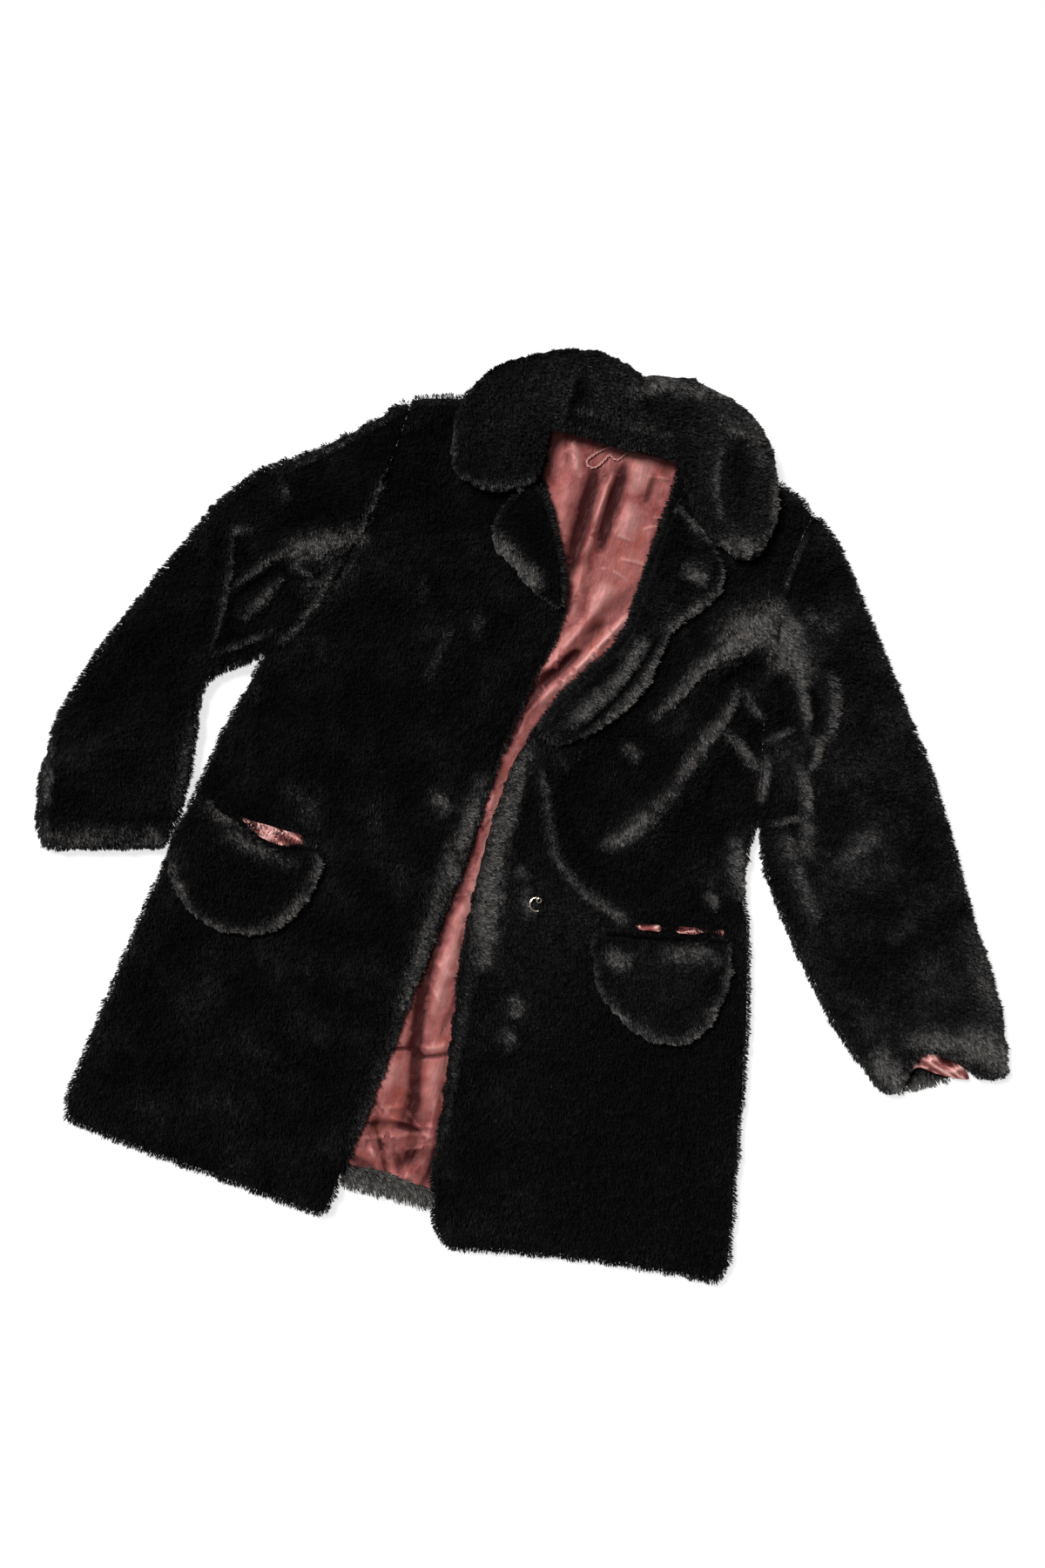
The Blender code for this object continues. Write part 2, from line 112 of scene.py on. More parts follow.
BODY_NAP = rows(
    Nap,
    (-100, 380, -112), (-300, 40, -118), (-380, -200, -106), (-130, -200, -102), (250, 250, -80),
    (180, 60, -112), (200, -300, -114), (0, -300, -112), (60, 0, -115),
)
SLEEVE_RIGHT_NAP = rows(
    Nap,
    (-160, 380, -150), (-250, 290, -152), (-330, 270, -135), (-400, 160, -118), (-440, 30, -106),
)
SLEEVE_LEFT_NAP = rows(Nap, (300, 250, -75), (320, 80, -72), (390, -60, -66), (450, -240, -70))
COLLAR_NAP = rows(
    Nap,
    (-45, 400, 190), (-30, 360, 240), (-20, 470, 140), (60, 470, 100), (150, 450, 80),
    (220, 430, 45), (250, 370, 5), (240, 300, -50), (200, 350, -80),
)
LAPEL_RIGHT_NAP = rows(Nap, (0, 330, 200), (-20, 300, 215), (20, 250, 230))
LAPEL_LEFT_NAP = rows(Nap, (190, 300, -40), (180, 250, -50), (120, 160, -60), (50, 100, -70))

# The right front and sleeve: small dents below the collar, the turned front edge, the broad
# soft folds of the skirt, the fan below the shoulder, the elbow, and the cuff.
RIGHT_FOLDS = rows(
    Fold,
    (-50, 212, -95, 34, 7, 1, 0, -40, 42), (-92, 182, -115, 70, 4, 1, 0, -30, 40),
    (-110, 250, -90, 35, 5, 1, 0, -30, 48), (-90, 20, -65, 40, 7, 1, 0, -45, 26),
    (-70, -25, -110, 170, 8, 2, 0, -30, 20), (-115, -150, -110, 150, 7, 1, 0, -30, 26),
    (-160, -280, -110, 175, 5, 1, 0, -30, 43), (-180, 265, -105, 100, 14, -3, 0),
    (-185, 150, -105, 200, 26, 3, 0), (-270, -220, -100, 170, 30, 3, 0),
    (-175, -255, -100, 205, 26, 2.5, 0), (-240, 20, -50, 65, 10, 1, -2, -45, 42),
    (-310, 315, 10, 40, 4, 2.5, 0, -60, 26), (-328, 250, -100, 145, 2.5, 3, 4, -20, 18, -1),
    (-340, 250, -100, 150, 6, -3, 5, -90, 84), (-282, 275, 35, 95, 3, 3, 2, -50, 18),
    (-213, 302, 12, 100, 10, 3, 1, -70, 16), (-225, 290, 20, 60, 8, 1, 0, -75, 24),
    (-262, 265, 25, 50, 6, -2, 0, -90, 70), (-246, 285, 70, 40, 3, 2, 0, -50, 26),
    (-240, 270, -30, 30, 3, 1.5, 0, -50, 26), (-300, 150, -60, 60, 8, 1, 0, -50, 46),
    (-229, 256, 10, 22, 2.5, 1, 0, -50, 22), (-166, 338, 65, 85, 4, 3, -2, -40, 22, -1),
    (-208, 262, 50, 85, 17, 1, 0, -60, 42), (-238, 234, -125, 105, 3, 3, 8, -30, 19),
    (-282, 242, 46, 70, 6, 3, 0, -50, 27), (-290, 258, 35, 70, 6, -3, 0, -90, 80),
    (-300, 196, 22, 80, 2.5, 2.5, -2, -60, 28), (-260, 358, -80, 35, 4, 1, 0, -30, 34),
    (-196, 414, 28, 170, 4, 1, -3, -60, 34), (-448, 100, -113, 115, 20, 2.5, 0),
    (-374, 60, -100, 140, 4, 2, 3, -20, 36), (-514, 46, -95, 115, 5, 1, -4, -30, 26),
    (-450, 10, -2, 155, 5, -2, -7, -90, 76), (-488, -16, -5, 80, 6, 1, -4, -80, 25),
    (-445, -20, -3, 130, 13, 0, 0, -60, 38), (-402, -18, -60, 30, 5, 1, 0, -60, 26),
)
# The left front and sleeve: two long fans from the armhole and a third to the pocket, each
# with its hollow, the gathers of the armhole, the turned front edge, the skirt, the elbow
# and the cuff, which is brushed up round its opening.
LEFT_FOLDS = rows(
    Fold,
    (30, -140, -100, 240, 55, 0, 0, -50, 53), (130, -330, -100, 380, 90, 0, 0, -112, 66),
    (316, 114, -80, 70, 9, 1, 0, -40, 37), (285, 72, -20, 50, 13, 1, 0, -50, 44),
    (252, 203, -152, 95, 22, 4, -2, -75, 12), (234, 187, -155, 70, 11, 3, 0, -80, 13),
    (202, 168, -137, 100, 8, 4, -1, -70, 16, 1), (166, 132, -135, 75, 5, 3, 0, -60, 19, 1),
    (242, 160, -155, 110, 9, -5, -6, -90, 86), (274, 206, -80, 30, 2, -3, 0, -60, 88),
    (222, 120, -115, 65, 4, 3, 2, -60, 24), (190, 72, -125, 105, 7, 4, 0, -65, 17),
    (140, 12, -140, 120, 8, 4, 5, -70, 16), (98, -20, -155, 55, 6, 3, 3, -70, 19),
    (205, 45, -130, 185, 13, -4, 0, -90, 82), (30, 3, -80, 110, 5, 3, -3, -30, 24),
    (56, -62, -50, 90, 6, 3, -6, -50, 18, -1), (92, -95, -35, 60, 5, 3, 0, -60, 20),
    (20, -12, -75, 175, 8, -2, -10), (82, -18, -58, 155, 14, -3, -24, -90, 78),
    (286, 188, -75, 95, 16, 3, 0, -35, 11), (275, 196, -85, 55, 10, 1, 0, -45, 14),
    (281, 125, -85, 75, 8, -6, 0, -90, 88), (299, 130, -76, 100, 7, 4, 3, -30, 13, -1),
    (279, 92, 25, 40, 3, 2, 0, -50, 26), (308, 76, -100, 50, 5, 4, 8, -20, 15, -1),
    (300, 30, -82, 65, 4.5, 3, 6, -20, 16), (290, 0, 10, 50, 2.5, 2, 0, -50, 22),
    (304, -20, -90, 45, 4, 1, 0, -30, 28), (325, 120, -97, 85, 5, 3, 11, -20, 20),
    (312, 118, -87, 60, 5, -3, 6, -90, 84), (254, 126, -60, 50, 4, 2, -5, -60, 30),
    (238, 76, -50, 60, 5, 3, 0, -50, 18), (262, 44, -95, 55, 4, 3, 0, -60, 16),
    (325, 222, -30, 45, 6, 2, -10, -40, 36), (295, 268, -110, 105, 3, 1, -4, -45, 36),
    (118, 74, -25, 30, 7, 1, 0, -60, 30), (47, 58, -60, 28, 5, 1, 0, -60, 30),
    (67, 60, -140, 95, 12, -3, 0, -90, 74), (236, -50, -85, 80, 7, 3, -5, -30, 22),
    (205, -87, -60, 25, 5, 1, 0, -40, 28), (-15, 12, -106, 170, 10, 2, -4, -20, 20),
    (-39, -94, -96, 150, 11, 3, -2, -20, 13), (-70, -245, -100, 210, 5, 1, -3, -20, 40),
    (-2, -58, -40, 20, 5, 1, 0, -40, 27), (2, -90, -80, 35, 6, 1, 0, -40, 27),
    (-10, -204, -80, 30, 7, 1, 0, -40, 26), (-17, -239, -65, 30, 6, 1, 0, -40, 28),
    (20, -320, -100, 230, 28, 3, 0), (145, -370, -95, 225, 30, 3, 0),
    (215, -320, -95, 130, 16, 2, 0), (362, -30, 43, 65, 9, 4, 0, -50, 28),
    (410, -120, 40, 40, 8, 3, 0, -50, 42), (428, -135, 30, 140, 16, 2.5, -12),
    (395, -205, -54, 100, 18, 2.5, 0), (468, -16, -75, 145, 8, 1, 8, -50, 44),
    (300, -60, -70, 115, 6, 2.5, -3, -20, 26), (306, -16, -85, 60, 6, 1, 5, -40, 28),
    (496, -165, -75, 130, 10, 1, 2, -40, 34), (403, -276, -48, 75, 12, 1, -4, -60, 20),
    (500, -258, -25, 85, 16, 1, 10, -60, 15), (448, -244, -8, 90, 9, 1, 4, -60, 22),
)
# The collar: the rims of its leaves, the crease and the dent at its back, the full roll and
# the neck band.
COLLAR_FOLDS = rows(
    Fold,
    (-30, 440, 110, 190, 45, 0, 0, -60, 49), (80, 465, -10, 190, 35, 0, 0, -60, 43),
    (225, 380, -75, 220, 45, 0, 0, -50, 45), (102, 413, -14, 150, 6, 0, 0, -105, 42),
    (-72, 418, -90, 95, 4, 2, -5, -60, 22), (-56, 372, -30, 60, 6, 2, -8, -80, 17),
    (-18, 362, 0, 65, 5, 2, -5, -80, 17), (8, 366, 25, 45, 5, 1, 0, -70, 20),
    (-35, 416, -85, 70, 16, -3, 0), (46, 455, -110, 55, 4, -2, 0, -20, 26),
    (57, 455, -108, 50, 6, -2, 0, -90, 80), (82, 436, -15, 65, 5, 2, 2, -80, 36),
    (134, 422, -15, 65, 5, 2, 1, -80, 36), (131, 466, -82, 50, 5, -5, 0, -90, 86),
    (145, 466, 15, 75, 9, 3, 6, -60, 18), (200, 456, -10, 85, 9, 3, 8, -60, 20),
    (238, 412, -45, 95, 14, 2, 3, -50, 30), (252, 432, -50, 60, 7, 1, 0, -50, 25),
    (216, 364, -90, 90, 4, 3, -8, -20, 20, 1), (232, 368, -92, 95, 9, -2, 0, -90, 62),
    (237, 305, 0, 60, 10, 1, -12, -45, 21), (240, 288, -165, 40, 6, 1, 7, -45, 21),
    (266, 352, -93, 125, 5, 1, 6, -40, 21),
)
# The lapels: the right one's point, the left one's rim, and its double roll.
LAPEL_FOLDS = rows(
    Fold,
    (-10, 280, -48, 100, 13, 3, 0, -75, 14), (-7, 347, -135, 90, 4, 1, -5, -60, 24),
    (186, 267, -20, 36, 9, 2, 0, -45, 15), (186, 318, -45, 80, 4, 1, 0, -50, 26),
    (212, 260, -108, 60, 5, 1, 5, -30, 19), (180, 223, -143, 85, 6, 2.5, 0, -45, 17),
    (138, 170, -118, 75, 8, 3, 3, -40, 15), (100, 122, -135, 110, 8, 3, 3, -45, 15),
    (115, 170, -120, 70, 6, 3, -1, -45, 15), (78, 131, -138, 90, 7, 3, 2, -45, 15),
    (103, 148, -130, 145, 3, -4, 9, -90, 88),
)
# The pockets: their rounded rims, and the soft ridges and brushed places below their mouths.
POCKET_FOLDS = rows(
    Fold,
    (145, -165, 0, 110, 25, 0, 0, -60, 54), (-305, -60, -20, 130, 32, 0, 0, -90, 68),
    (-374, -66, -72, 90, 9, 1, -8, -30, 22), (-340, -108, -27, 95, 7, 1, -7, -60, 17),
    (-290, -121, 5, 60, 7, 1, -3, -50, 17), (-252, -97, 45, 75, 9, 1, -6, -45, 16),
    (-229, -60, 75, 70, 5, 1, -4, -30, 20), (-322, 10, -40, 60, 9, 2, -3, -60, 17),
    (-295, -24, -28, 70, 7, 1, -3, -60, 27), (-262, -42, -20, 50, 7, 1, 0, -60, 38),
    (84, -172, -78, 85, 5, 1, -6, -30, 21), (112, -217, -42, 80, 7, 1, -5, -60, 17),
    (150, -236, -12, 80, 9, 1, -8, -50, 16), (198, -220, 50, 75, 8, 1, -6, -45, 17),
    (219, -175, 78, 80, 5, 1, -4, -40, 23), (102, -150, -25, 40, 8, 1, 0, -60, 24),
    (180, -148, -5, 75, 10, 1, 4, -60, 29),
)
# The turned hem of the back, brushed along its length.
HEM_FOLDS = rows(
    Fold,
    (-148, -402, -14, 170, 22, 1, 0, -75, 13), (-146, -389, -14, 170, 4, 0, 0, -15, 16),
)
# The back and the under sleeves, where the coat was smoothed down on its floor.
HIDDEN_FOLDS = rows(
    Fold,
    (-150, 200, -70, 260, 22, 2, 12, -45, 12), (60, 40, -100, 320, 26, 2, -18, -60, 10),
    (-260, -120, -115, 240, 20, 2, 8, -30, 14), (140, -260, -84, 260, 24, 2, 10, -80, 12),
    (120, 300, -30, 180, 16, 1.6, 6), (-330, 200, -150, 120, 12, 2, 5),
    (-420, 60, -110, 150, 14, 2, -6, -40, 14), (340, 100, -60, 160, 14, 2, 6),
    (430, -150, -75, 150, 14, 2, -5, -50, 14), (432, -297, -8, 80, 14, 0, 0, -70, 14),
)

DENT = Pull(129, 487, 8, 1, -9)
POCKET_RIGHT_PULLS = (Pull(-272, -17, 24, -3, -9),)
HEM_PULLS = rows(Pull, (-192, -390, 14, -7, 1), (-104, -414, 14, 7, 0), (-148, -391, 35, 1, 3))
CUFF_UNDER_PULLS = (Pull(430, -293, 20, 0, -8),)
COLLAR_PULLS = (
    DENT, *rows(Pull, (50, 421, 25, -1, -4), (98, 408, 25, -1, -4), (148, 394, 25, -1, -4)))
LAPEL_RIGHT_PULLS = rows(Pull, (-35, 302, 9, -5, 0), (-12, 270, 14, 2.5, 4))
CUFF_LEFT_PULLS = rows(Pull, (440, -277, 22, 1, 20), (468, -281, 18, 4, 10))
CUFF_LINING_PULLS = rows(
    Pull,
    (440, -272, 30, 1, 12), (424, -291, 20, 5, 15), (476, -288, 20, 3, -3),
)

# The lining's edges run on a little under the collar and under the hem.
LINING_PULLS = rows(
    Pull,
    (42, 423, 22, 1, 4), (76, 414, 22, 1, 4), (110, 404, 22, 1, 4), (146, 394, 22, 1, 4),
    (-190, -375, 22, -1, -3), (-155, -386, 22, -1, -3), (-120, -397, 22, -1, -3),
    (-90, -407, 22, -1, -3),
)

# The lining: two deep pleats below the neck with a ridge between them, the valley where it
# turns in under the lapels, the pleat along the opening, and the creases near its hem.
PLEATS = rows(
    Pleat,
    (45, 330, -104, 150, 12, 4, 0, 0.05), (66, 322, -104, 130, 7, -1, 0, -1.3),
    (87, 342, -110, 90, 4, 4, 0, 0.4), (98, 338, -107, 110, 6, -1, 0, -1.3),
    (96, 375, -120, 30, 2, -1, 0, -0.7), (128, 374, -80, 50, 13, 3, 0, 0.4),
    (117, 322, -110, 45, 9, 3, 0, 0.45), (112, 308, -30, 30, 2, 1.5, -4, 0.4),
    (140, 357, -110, 35, 3, -1, 0, -0.8), (157, 377, -60, 30, 6, -1, 0, -0.4),
    (158, 388, 10, 35, 2, 2, 0, 0.5), (154, 368, -5, 35, 2, 2, 0, 0.5),
    (148, 326, -10, 25, 1.5, 1, 0, 0.4), (142, 314, 10, 25, 1.5, 1, 2, 0.4),
    (124, 276, -15, 40, 1.5, 1.5, 2, 0.45), (100, 264, -25, 35, 1.5, 1.5, 3, 0.45),
    (49, 404, -85, 50, 2.5, -1, 0, -0.5), (58, 390, -75, 50, 4, 2, 0, 0.45),
    (110, 405, -14, 150, 4, -1, -2, -0.4), (72, 296, -115, 45, 5, 3, 0, 0.45),
    (62, 250, -100, 100, 4, 2, 0, 0.2), (73, 250, -98, 90, 2.5, -1, 0, -0.35),
    (87, 237, -135, 45, 10, 3, 0, 0.45), (55, 196, -130, 100, 6, 4, 2, 0.4),
    (32, 168, -140, 40, 4, 3, 2, 0.3), (102, 228, -140, 90, 7, -1, 0, -0.4),
    (62, 184, -134, 90, 6, -1, 0, -0.6), (38, 161, -138, 70, 5, -1, 0, -1.2),
    (84, 186, -134, 130, 3, 4, 0, 0.8), (45, 172, -138, 90, 3, 3, 0, 0.5),
    (25, 128, -138, 75, 4, 3, -2, 0.45), (0, 90, -110, 60, 3, 3, -2, 0.4),
    (10, 130, -122, 75, 6, -1, 0, -1.2), (-12, 88, -115, 50, 5, -1, 0, -1),
    (-32, 42, -118, 50, 6, -1, 0, -0.9), (-42, 22, 0, 20, 2, 1, 0, 0.6),
    (-52, -8, -105, 80, 6, -1, 0, -1.1), (-40, -20, -103, 100, 4, 3, 0, 0.3),
    (-68, -62, -108, 100, 7, -1, 0, -1.2), (-55, -80, -106, 60, 5, 3, 0, 0.4),
    (-94, -132, -108, 100, 7, -1, 0, -1.2), (-74, -140, -100, 90, 7, 3, 0, 0.3),
    (-110, -200, -99, 110, 6, -1, 0, -1.2), (-116, -275, -92, 100, 6, -1, 0, -1),
    (-124, -322, -105, 45, 7, -1, 0, -0.6), (-90, -180, -100, 90, 5, 2, 3, 0.35),
    (-86, -166, -40, 30, 2, 1.5, 0, 0.5), (-96, -190, -60, 40, 2, 1.5, 0, 0.4),
    (-78, -215, -115, 60, 3, -1, 0, -0.5), (-130, -255, 2, 40, 2, -1, 2, -0.9),
    (-95, -257, 8, 50, 2, -1, -4, -0.9), (-95, -248, 8, 50, 3, 2, -4, 0.4),
    (-145, -290, -105, 70, 9, 3, 0, 0.2), (-95, -290, -92, 80, 9, 3, 0, 0.2),
    (-135, -355, -14, 200, 40, 0, 0, -0.22), (-165, -335, -112, 60, 5, 2, 0, -0.4),
    (-122, -352, -98, 60, 5, -1, 3, -0.45), (-150, -318, 4, 50, 2, 2, 0, 0.45),
    (-118, -362, 5, 60, 2, 2, 0, 0.45), (-160, -350, 3, 50, 2, 2, 0, 0.4),
    (-98, -330, -100, 50, 2, 2, 0, 0.4), (-126, -392, -20, 50, 6, 2, 0, 0.35),
    (-145, -330, -12, 50, 2, 2, 2, 0.4), (-108, -336, -4, 45, 2, 2, -2, 0.35),
    (-138, -347, 3, 45, 2, 2, -2, 0.35), (-104, -350, -10, 40, 2, 1.5, 2, 0.3),
    (-112, -338, -50, 45, 2, 2, 0, 0.4), (-140, -340, -8, 70, 3, -1, 4, -0.5),
    (-152, -366, -75, 60, 2, -1, 0, -0.7), (-160, -370, -72, 50, 3, 2.5, 0, 0.3),
    (-172, -376, -25, 35, 4, -1, 0, -0.6), (-170, -360, -35, 30, 3, 2, 0, 0.4),
    (-135, -375, -70, 40, 3, -1, 0, -0.5), (-112, -372, 0, 50, 8, -1, 3, -0.4),
    (-120, -385, 30, 40, 5, 2, 0, 0.35), (-100, -385, 60, 50, 3, -1, 0, -0.6),
    (-92, -360, -98, 80, 4, -1, 0, -0.7),
)

PANELS = {
    "back": Panel(10, 0, HIDDEN_FOLDS, BODY_NAP, (), (), (0.82, 0.97), 0.505),
    "back_hem": Panel(
        3, 1, HEM_FOLDS, BODY_NAP, HEM_PULLS, ("back_lining",), (0.09, 0.03), 0.0018, -1.5),
    "front_right": Panel(
        5, 0.3, RIGHT_FOLDS, BODY_NAP, (), ("back_lining",), (0.55, 0.9), 0.24, 1),
    "front_left": Panel(
        5, 0.3, LEFT_FOLDS, BODY_NAP, (), ("back_lining",), (0.42, 0.9), 0.24, 1),
    "sleeve_right_under": Panel(
        9, 0, HIDDEN_FOLDS, SLEEVE_RIGHT_NAP, (), (), (0.41, 0.49), 0.07),
    "sleeve_left_under": Panel(
        9, 0, HIDDEN_FOLDS, SLEEVE_LEFT_NAP, CUFF_UNDER_PULLS, (), (0.27, 0.63), 0.094),
    "sleeve_right_top": Panel(
        5, 0.3, RIGHT_FOLDS, SLEEVE_RIGHT_NAP, (), ("sleeve_right_under_cloth",),
        (0.41, 0.49), 0.072),
    "sleeve_left_top": Panel(
        5, 0.3, LEFT_FOLDS, SLEEVE_LEFT_NAP, CUFF_LEFT_PULLS, ("sleeve_left_under_cloth",),
        (0.27, 0.63), 0.092),
    "under_collar": Panel(5, 3, (), COLLAR_NAP, (DENT,), ("back",), (0.34, 0.14), 0.02),
    "lapel_right": Panel(
        4, 3, LAPEL_FOLDS, LAPEL_RIGHT_NAP, LAPEL_RIGHT_PULLS, ("front_right_cloth",),
        (0.08, 0.14), 0.006),
    "lapel_left": Panel(
        4, 3, LAPEL_FOLDS, LAPEL_LEFT_NAP, (), ("front_left_cloth",), (0.2, 0.27), 0.018),
    "collar": Panel(
        5, 3, COLLAR_FOLDS, COLLAR_NAP, COLLAR_PULLS, ("front_right_cloth",),
        (0.36, 0.23), 0.046),
    "pocket_right": Panel(
        4, 3, POCKET_FOLDS, BODY_NAP, POCKET_RIGHT_PULLS, ("front_right_cloth",),
        (0.17, 0.15), 0.02),
    "pocket_left": Panel(
        4, 3, POCKET_FOLDS, BODY_NAP, (), ("front_left_cloth",), (0.155, 0.13), 0.018),
}
BODY = ("back", "back_hem", "front_right", "front_left")
SLEEVES = ("sleeve_right_under", "sleeve_left_under", "sleeve_right_top", "sleeve_left_top")
COLLAR = ("under_collar", "lapel_right", "lapel_left", "collar")
POCKETS = ("pocket_right", "pocket_left")
ON_SURFACE = {"back", "sleeve_right_under", "sleeve_left_under", "under_collar"}

SINK_TOP = 5.0  # how far a cloth lies below its solid's top, which the pile makes up
SINK_UNDER = 0.3  # the same at an underside that another layer hides
SINK_RESTING = 2.4  # the same at an underside that lies on the floor
SEAM_REACH = 7.0  # a neighbour nearer than this is sewn on
FULL_DEPTH = 8  # how high above its underside a cloth has its folds in full
FLAT_UNDER = 0.8  # how uneven a hidden underside may be where it is made level
LEVEL_UNDER = -0.9  # it is made level where its normal points further down than this

SIDE_SHARE = 3.0  # how much denser the pile is at outer sides, where little hides the floor
RESTING_SHARE = 2.0  # the same at the sides that lie on the floor, below another panel
UNDERSIDE = -0.6  # a surface whose normal points further down than this is an underside
LEVEL_SIDE = 0.3  # a normal's level part below this doesn't point to a side
OUTER_SIDE = 0.5  # a surface whose normal rises or falls less than this is an outer side
FACES_DOWN = -0.3  # a sewn surface whose normal is below this bears no pile
FACES_UP = 0.3  # a resting surface whose normal is above this bears none under a panel
SEWN = 0.5  # a corner with more of a seam than this is sewn to its neighbour
RIM = 0.7  # a surface whose normal rises less than this belongs more and more to the rim
RIM_TRIM = 0.3  # how much shorter the pile of a trimmed panel is at its rim
SEAM_UP = 2  # how strongly pile at a seam is turned up, away from its neighbour
STROKED_UP = 1.5  # the same for stroked pile, so that it lies level on a slope
PAINTED_SHADE = 0.6  # how much the pile's colour darkens where it stands up, in patches and at the rim: painted shade
DARKEST = -0.8  # the least shine
SHARP = 0.35  # how wide a sharp fold's steep side is, as a share of its width
UPRIGHT = 58  # the slant in degrees at which pile neither shines nor darkens: its tips get neither painted highlight nor painted shade
FULL_GLOW = 40  # how many degrees flatter it is when it shines in full, with the full painted highlight on its tips
UNDER_SLANT = 6  # the slant of the pile pressed underneath
EASE = 400  # how softly one place of a nap passes into the next, in square millimetres

# A small lining: how far its sides swell, its lower side sags and its top lies in the pile
# round it, the turn of its creases, its drawn places, where it thins out, and its cut.
Small = namedtuple("Small", "swell sag drop turn pulls thin flat area")
SMALL_LININGS = {
    "cuff_lining_left": Small(1, 0, 0, -35, CUFF_LINING_PULLS, (), (0.08, 0.02), 0.0014),
    "pocket_lining_left": Small(
        0.5, 1, 6.5, -10, (), (Fold(120, -119, 0, 16, 8, 4, 0), Fold(160, -122, 0, 22, 9, 4, 0),
        Fold(204, -126, 0, 30, 9, 3, 0)), (0.1, 0.01), 0.0008),
    "pocket_lining_right": Small(
        2.5, 10, 6.2, -28, (), (Fold(-306, 0, -28, 55, 9, 2.5, 0), Fold(-234, -24, 0, 16, 9, 3, 0)),
        (0.09, 0.017), 0.0011),
}
CREASE_HEIGHT = 3.5  # how high a small lining's creases rise
CREASE_LENGTH = 0.3  # how fine its creases are along their turn, as a share of across it
CREASE_PAINTED_LIGHT = 0.7  # how much paler its crests are painted, a painted highlight, and its hollows darker, a painted shade
SMALL_CELL = 1.3  # the size of its faces
THINNED = 1.5  # how much further its top sinks than its sides draw in, where it thins out
FURTHEST_DOWN = 5  # how far it may sink below its solid
RUMPLE_MIDDLE = 1.2  # how high the back lining lies on its solid, between rumples and dips
DEEPEST_DIP = -0.3  # the lowest that it lies there
UNPAINTED_SHARE = 0.2  # the share of a pleat below which its satin isn't painted lighter or darker
TIGHT = 0.1  # the back lining's room under a panel, and beside one that is nearer than CLEAR
CLEAR = 1
ROOM_GAIN = 1.2  # how much room it gains with each millimetre further away
ROOM_FROM = 3  # how high above the lining the distance to a panel is taken
DARK_STEEPNESS = 1.7  # how much sharper a dark pleat's edges are than a light one's
PLEAT_REACH = 9  # how high the back lining may rise, where nothing lies above it
LOOP_ROUTE = (
    (97, 404), (88, 400), (79, 395), (71.5, 389), (72, 383), (78, 380.5), (85, 384),
    (91, 390), (95.5, 394.5), (99, 391.5), (103, 389), (107, 390.5), (111, 394), (115, 398.5),
)
LOOP_HEIGHT = 11.8
STRAND_OFFSET = 0.42  # how far a strand runs from the loop's middle, as a share of its thickness

# How fine, shifted and strong the noise is: how the nap swirls, where its slant varies in
# patches, and how ragged the edges of its streaks are.
SWIRLS = ((14, 0, 0.5), (41, 0, 0.3))
PATCHES = ((23, 5, 0.4), (66, 3, 0.2))
RAGGED = ((75, 9, 1.0), (190, 2, 0.7))
# The same for how long the pile is, how high the back lining is rumpled, where it is worn,
# and how a small lining is creased.
LENGTHS = ((60, 0, 0.25),)
RUMPLES = ((33, 0, 1.3), (90, 0, 0.6))
WORN = ((60, 4, 0.12),)
CREASES = ((120, 3, 3), (270, 7, 1.4))
RAGGED_SHARE = 0.6  # how ragged a streak's edges are, where it is neither narrow nor broad
NARROW = 6
BROAD = 12

# Metres: the width that the camera frames, how high above the floor, and over what place.
FRAMED = 1.71
FRAMED_HEIGHT = 0.012
FRAMED_MIDDLE = (0.0005, 0.0356)
SENSOR = 36
LIGHT_FROM = (-0.5, 0.5, 1.0)
FLOOR_REACH = 30  # how far the floor goes each way, so that it ends far beyond the coat

EXPORT_MAP = "OFBake"  # the leaves' own UV map, through which the pile's material reads their colours


def from_hex(code):
    """A colour in sRGB hex as the linear numbers that a shader takes."""
    parts = [int(code[n : n + 2], 16) / 255 for n in (1, 3, 5)]
    linear = [p / 12.92 if p <= 0.04045 else ((p + 0.055) / 1.055) ** 2.4 for p in parts]
    return (*linear, 1.0)


def length_of(name, description, default):
    """A length property, its default in millimetres."""
    return bpy.props.FloatProperty(
        name=name, description=description, default=default * MM, min=0.1 * MM, unit="LENGTH")


def share_of(name, description, default):
    return bpy.props.FloatProperty(
        name=name, description=description, default=default, min=0, max=1, subtype="FACTOR")


def colour_of(name, description, code):
    return bpy.props.FloatVectorProperty(
        name=name, description=description, default=from_hex(code), size=4, min=0, max=1,
        subtype="COLOR")


# ---------------------------------------------------------------- properties

class CoatFur(bpy.types.PropertyGroup):
    length: length_of("Pile length", "Length of the pile, root to tip", 8)
    width: length_of("Leaf width", "Width of one leaf of pile, which stands for many fibres", 1.1)
    density: bpy.props.FloatProperty(
        name="Leaves to a square metre", description="How many leaves stand on what shows",
        default=800_000, min=1000)
    under_share: share_of("Share underneath", "How dense the pile is on the underside", 0.1)
    slant: bpy.props.FloatProperty(
        name="Slant", description="How steeply the unstroked pile stands on its cloth",
        default=math.radians(58), subtype="ANGLE")
    # The root colour is painted shade: the pile is coloured darker towards its roots, where little
    # light reaches.
    root: colour_of("Root colour", "Colour of the pile deep down", "#020202")
    tip: colour_of("Tip colour", "Colour of the upright pile's tips", "#080809")
    # The stroked colour is a painted highlight on the tips of pile stroked flat.
    stroked: colour_of("Stroked colour", "Colour of the tips where the pile is stroked", "#5c5854")
    backing: colour_of("Backing colour", "Colour of the knitted backing", "#0a0909")


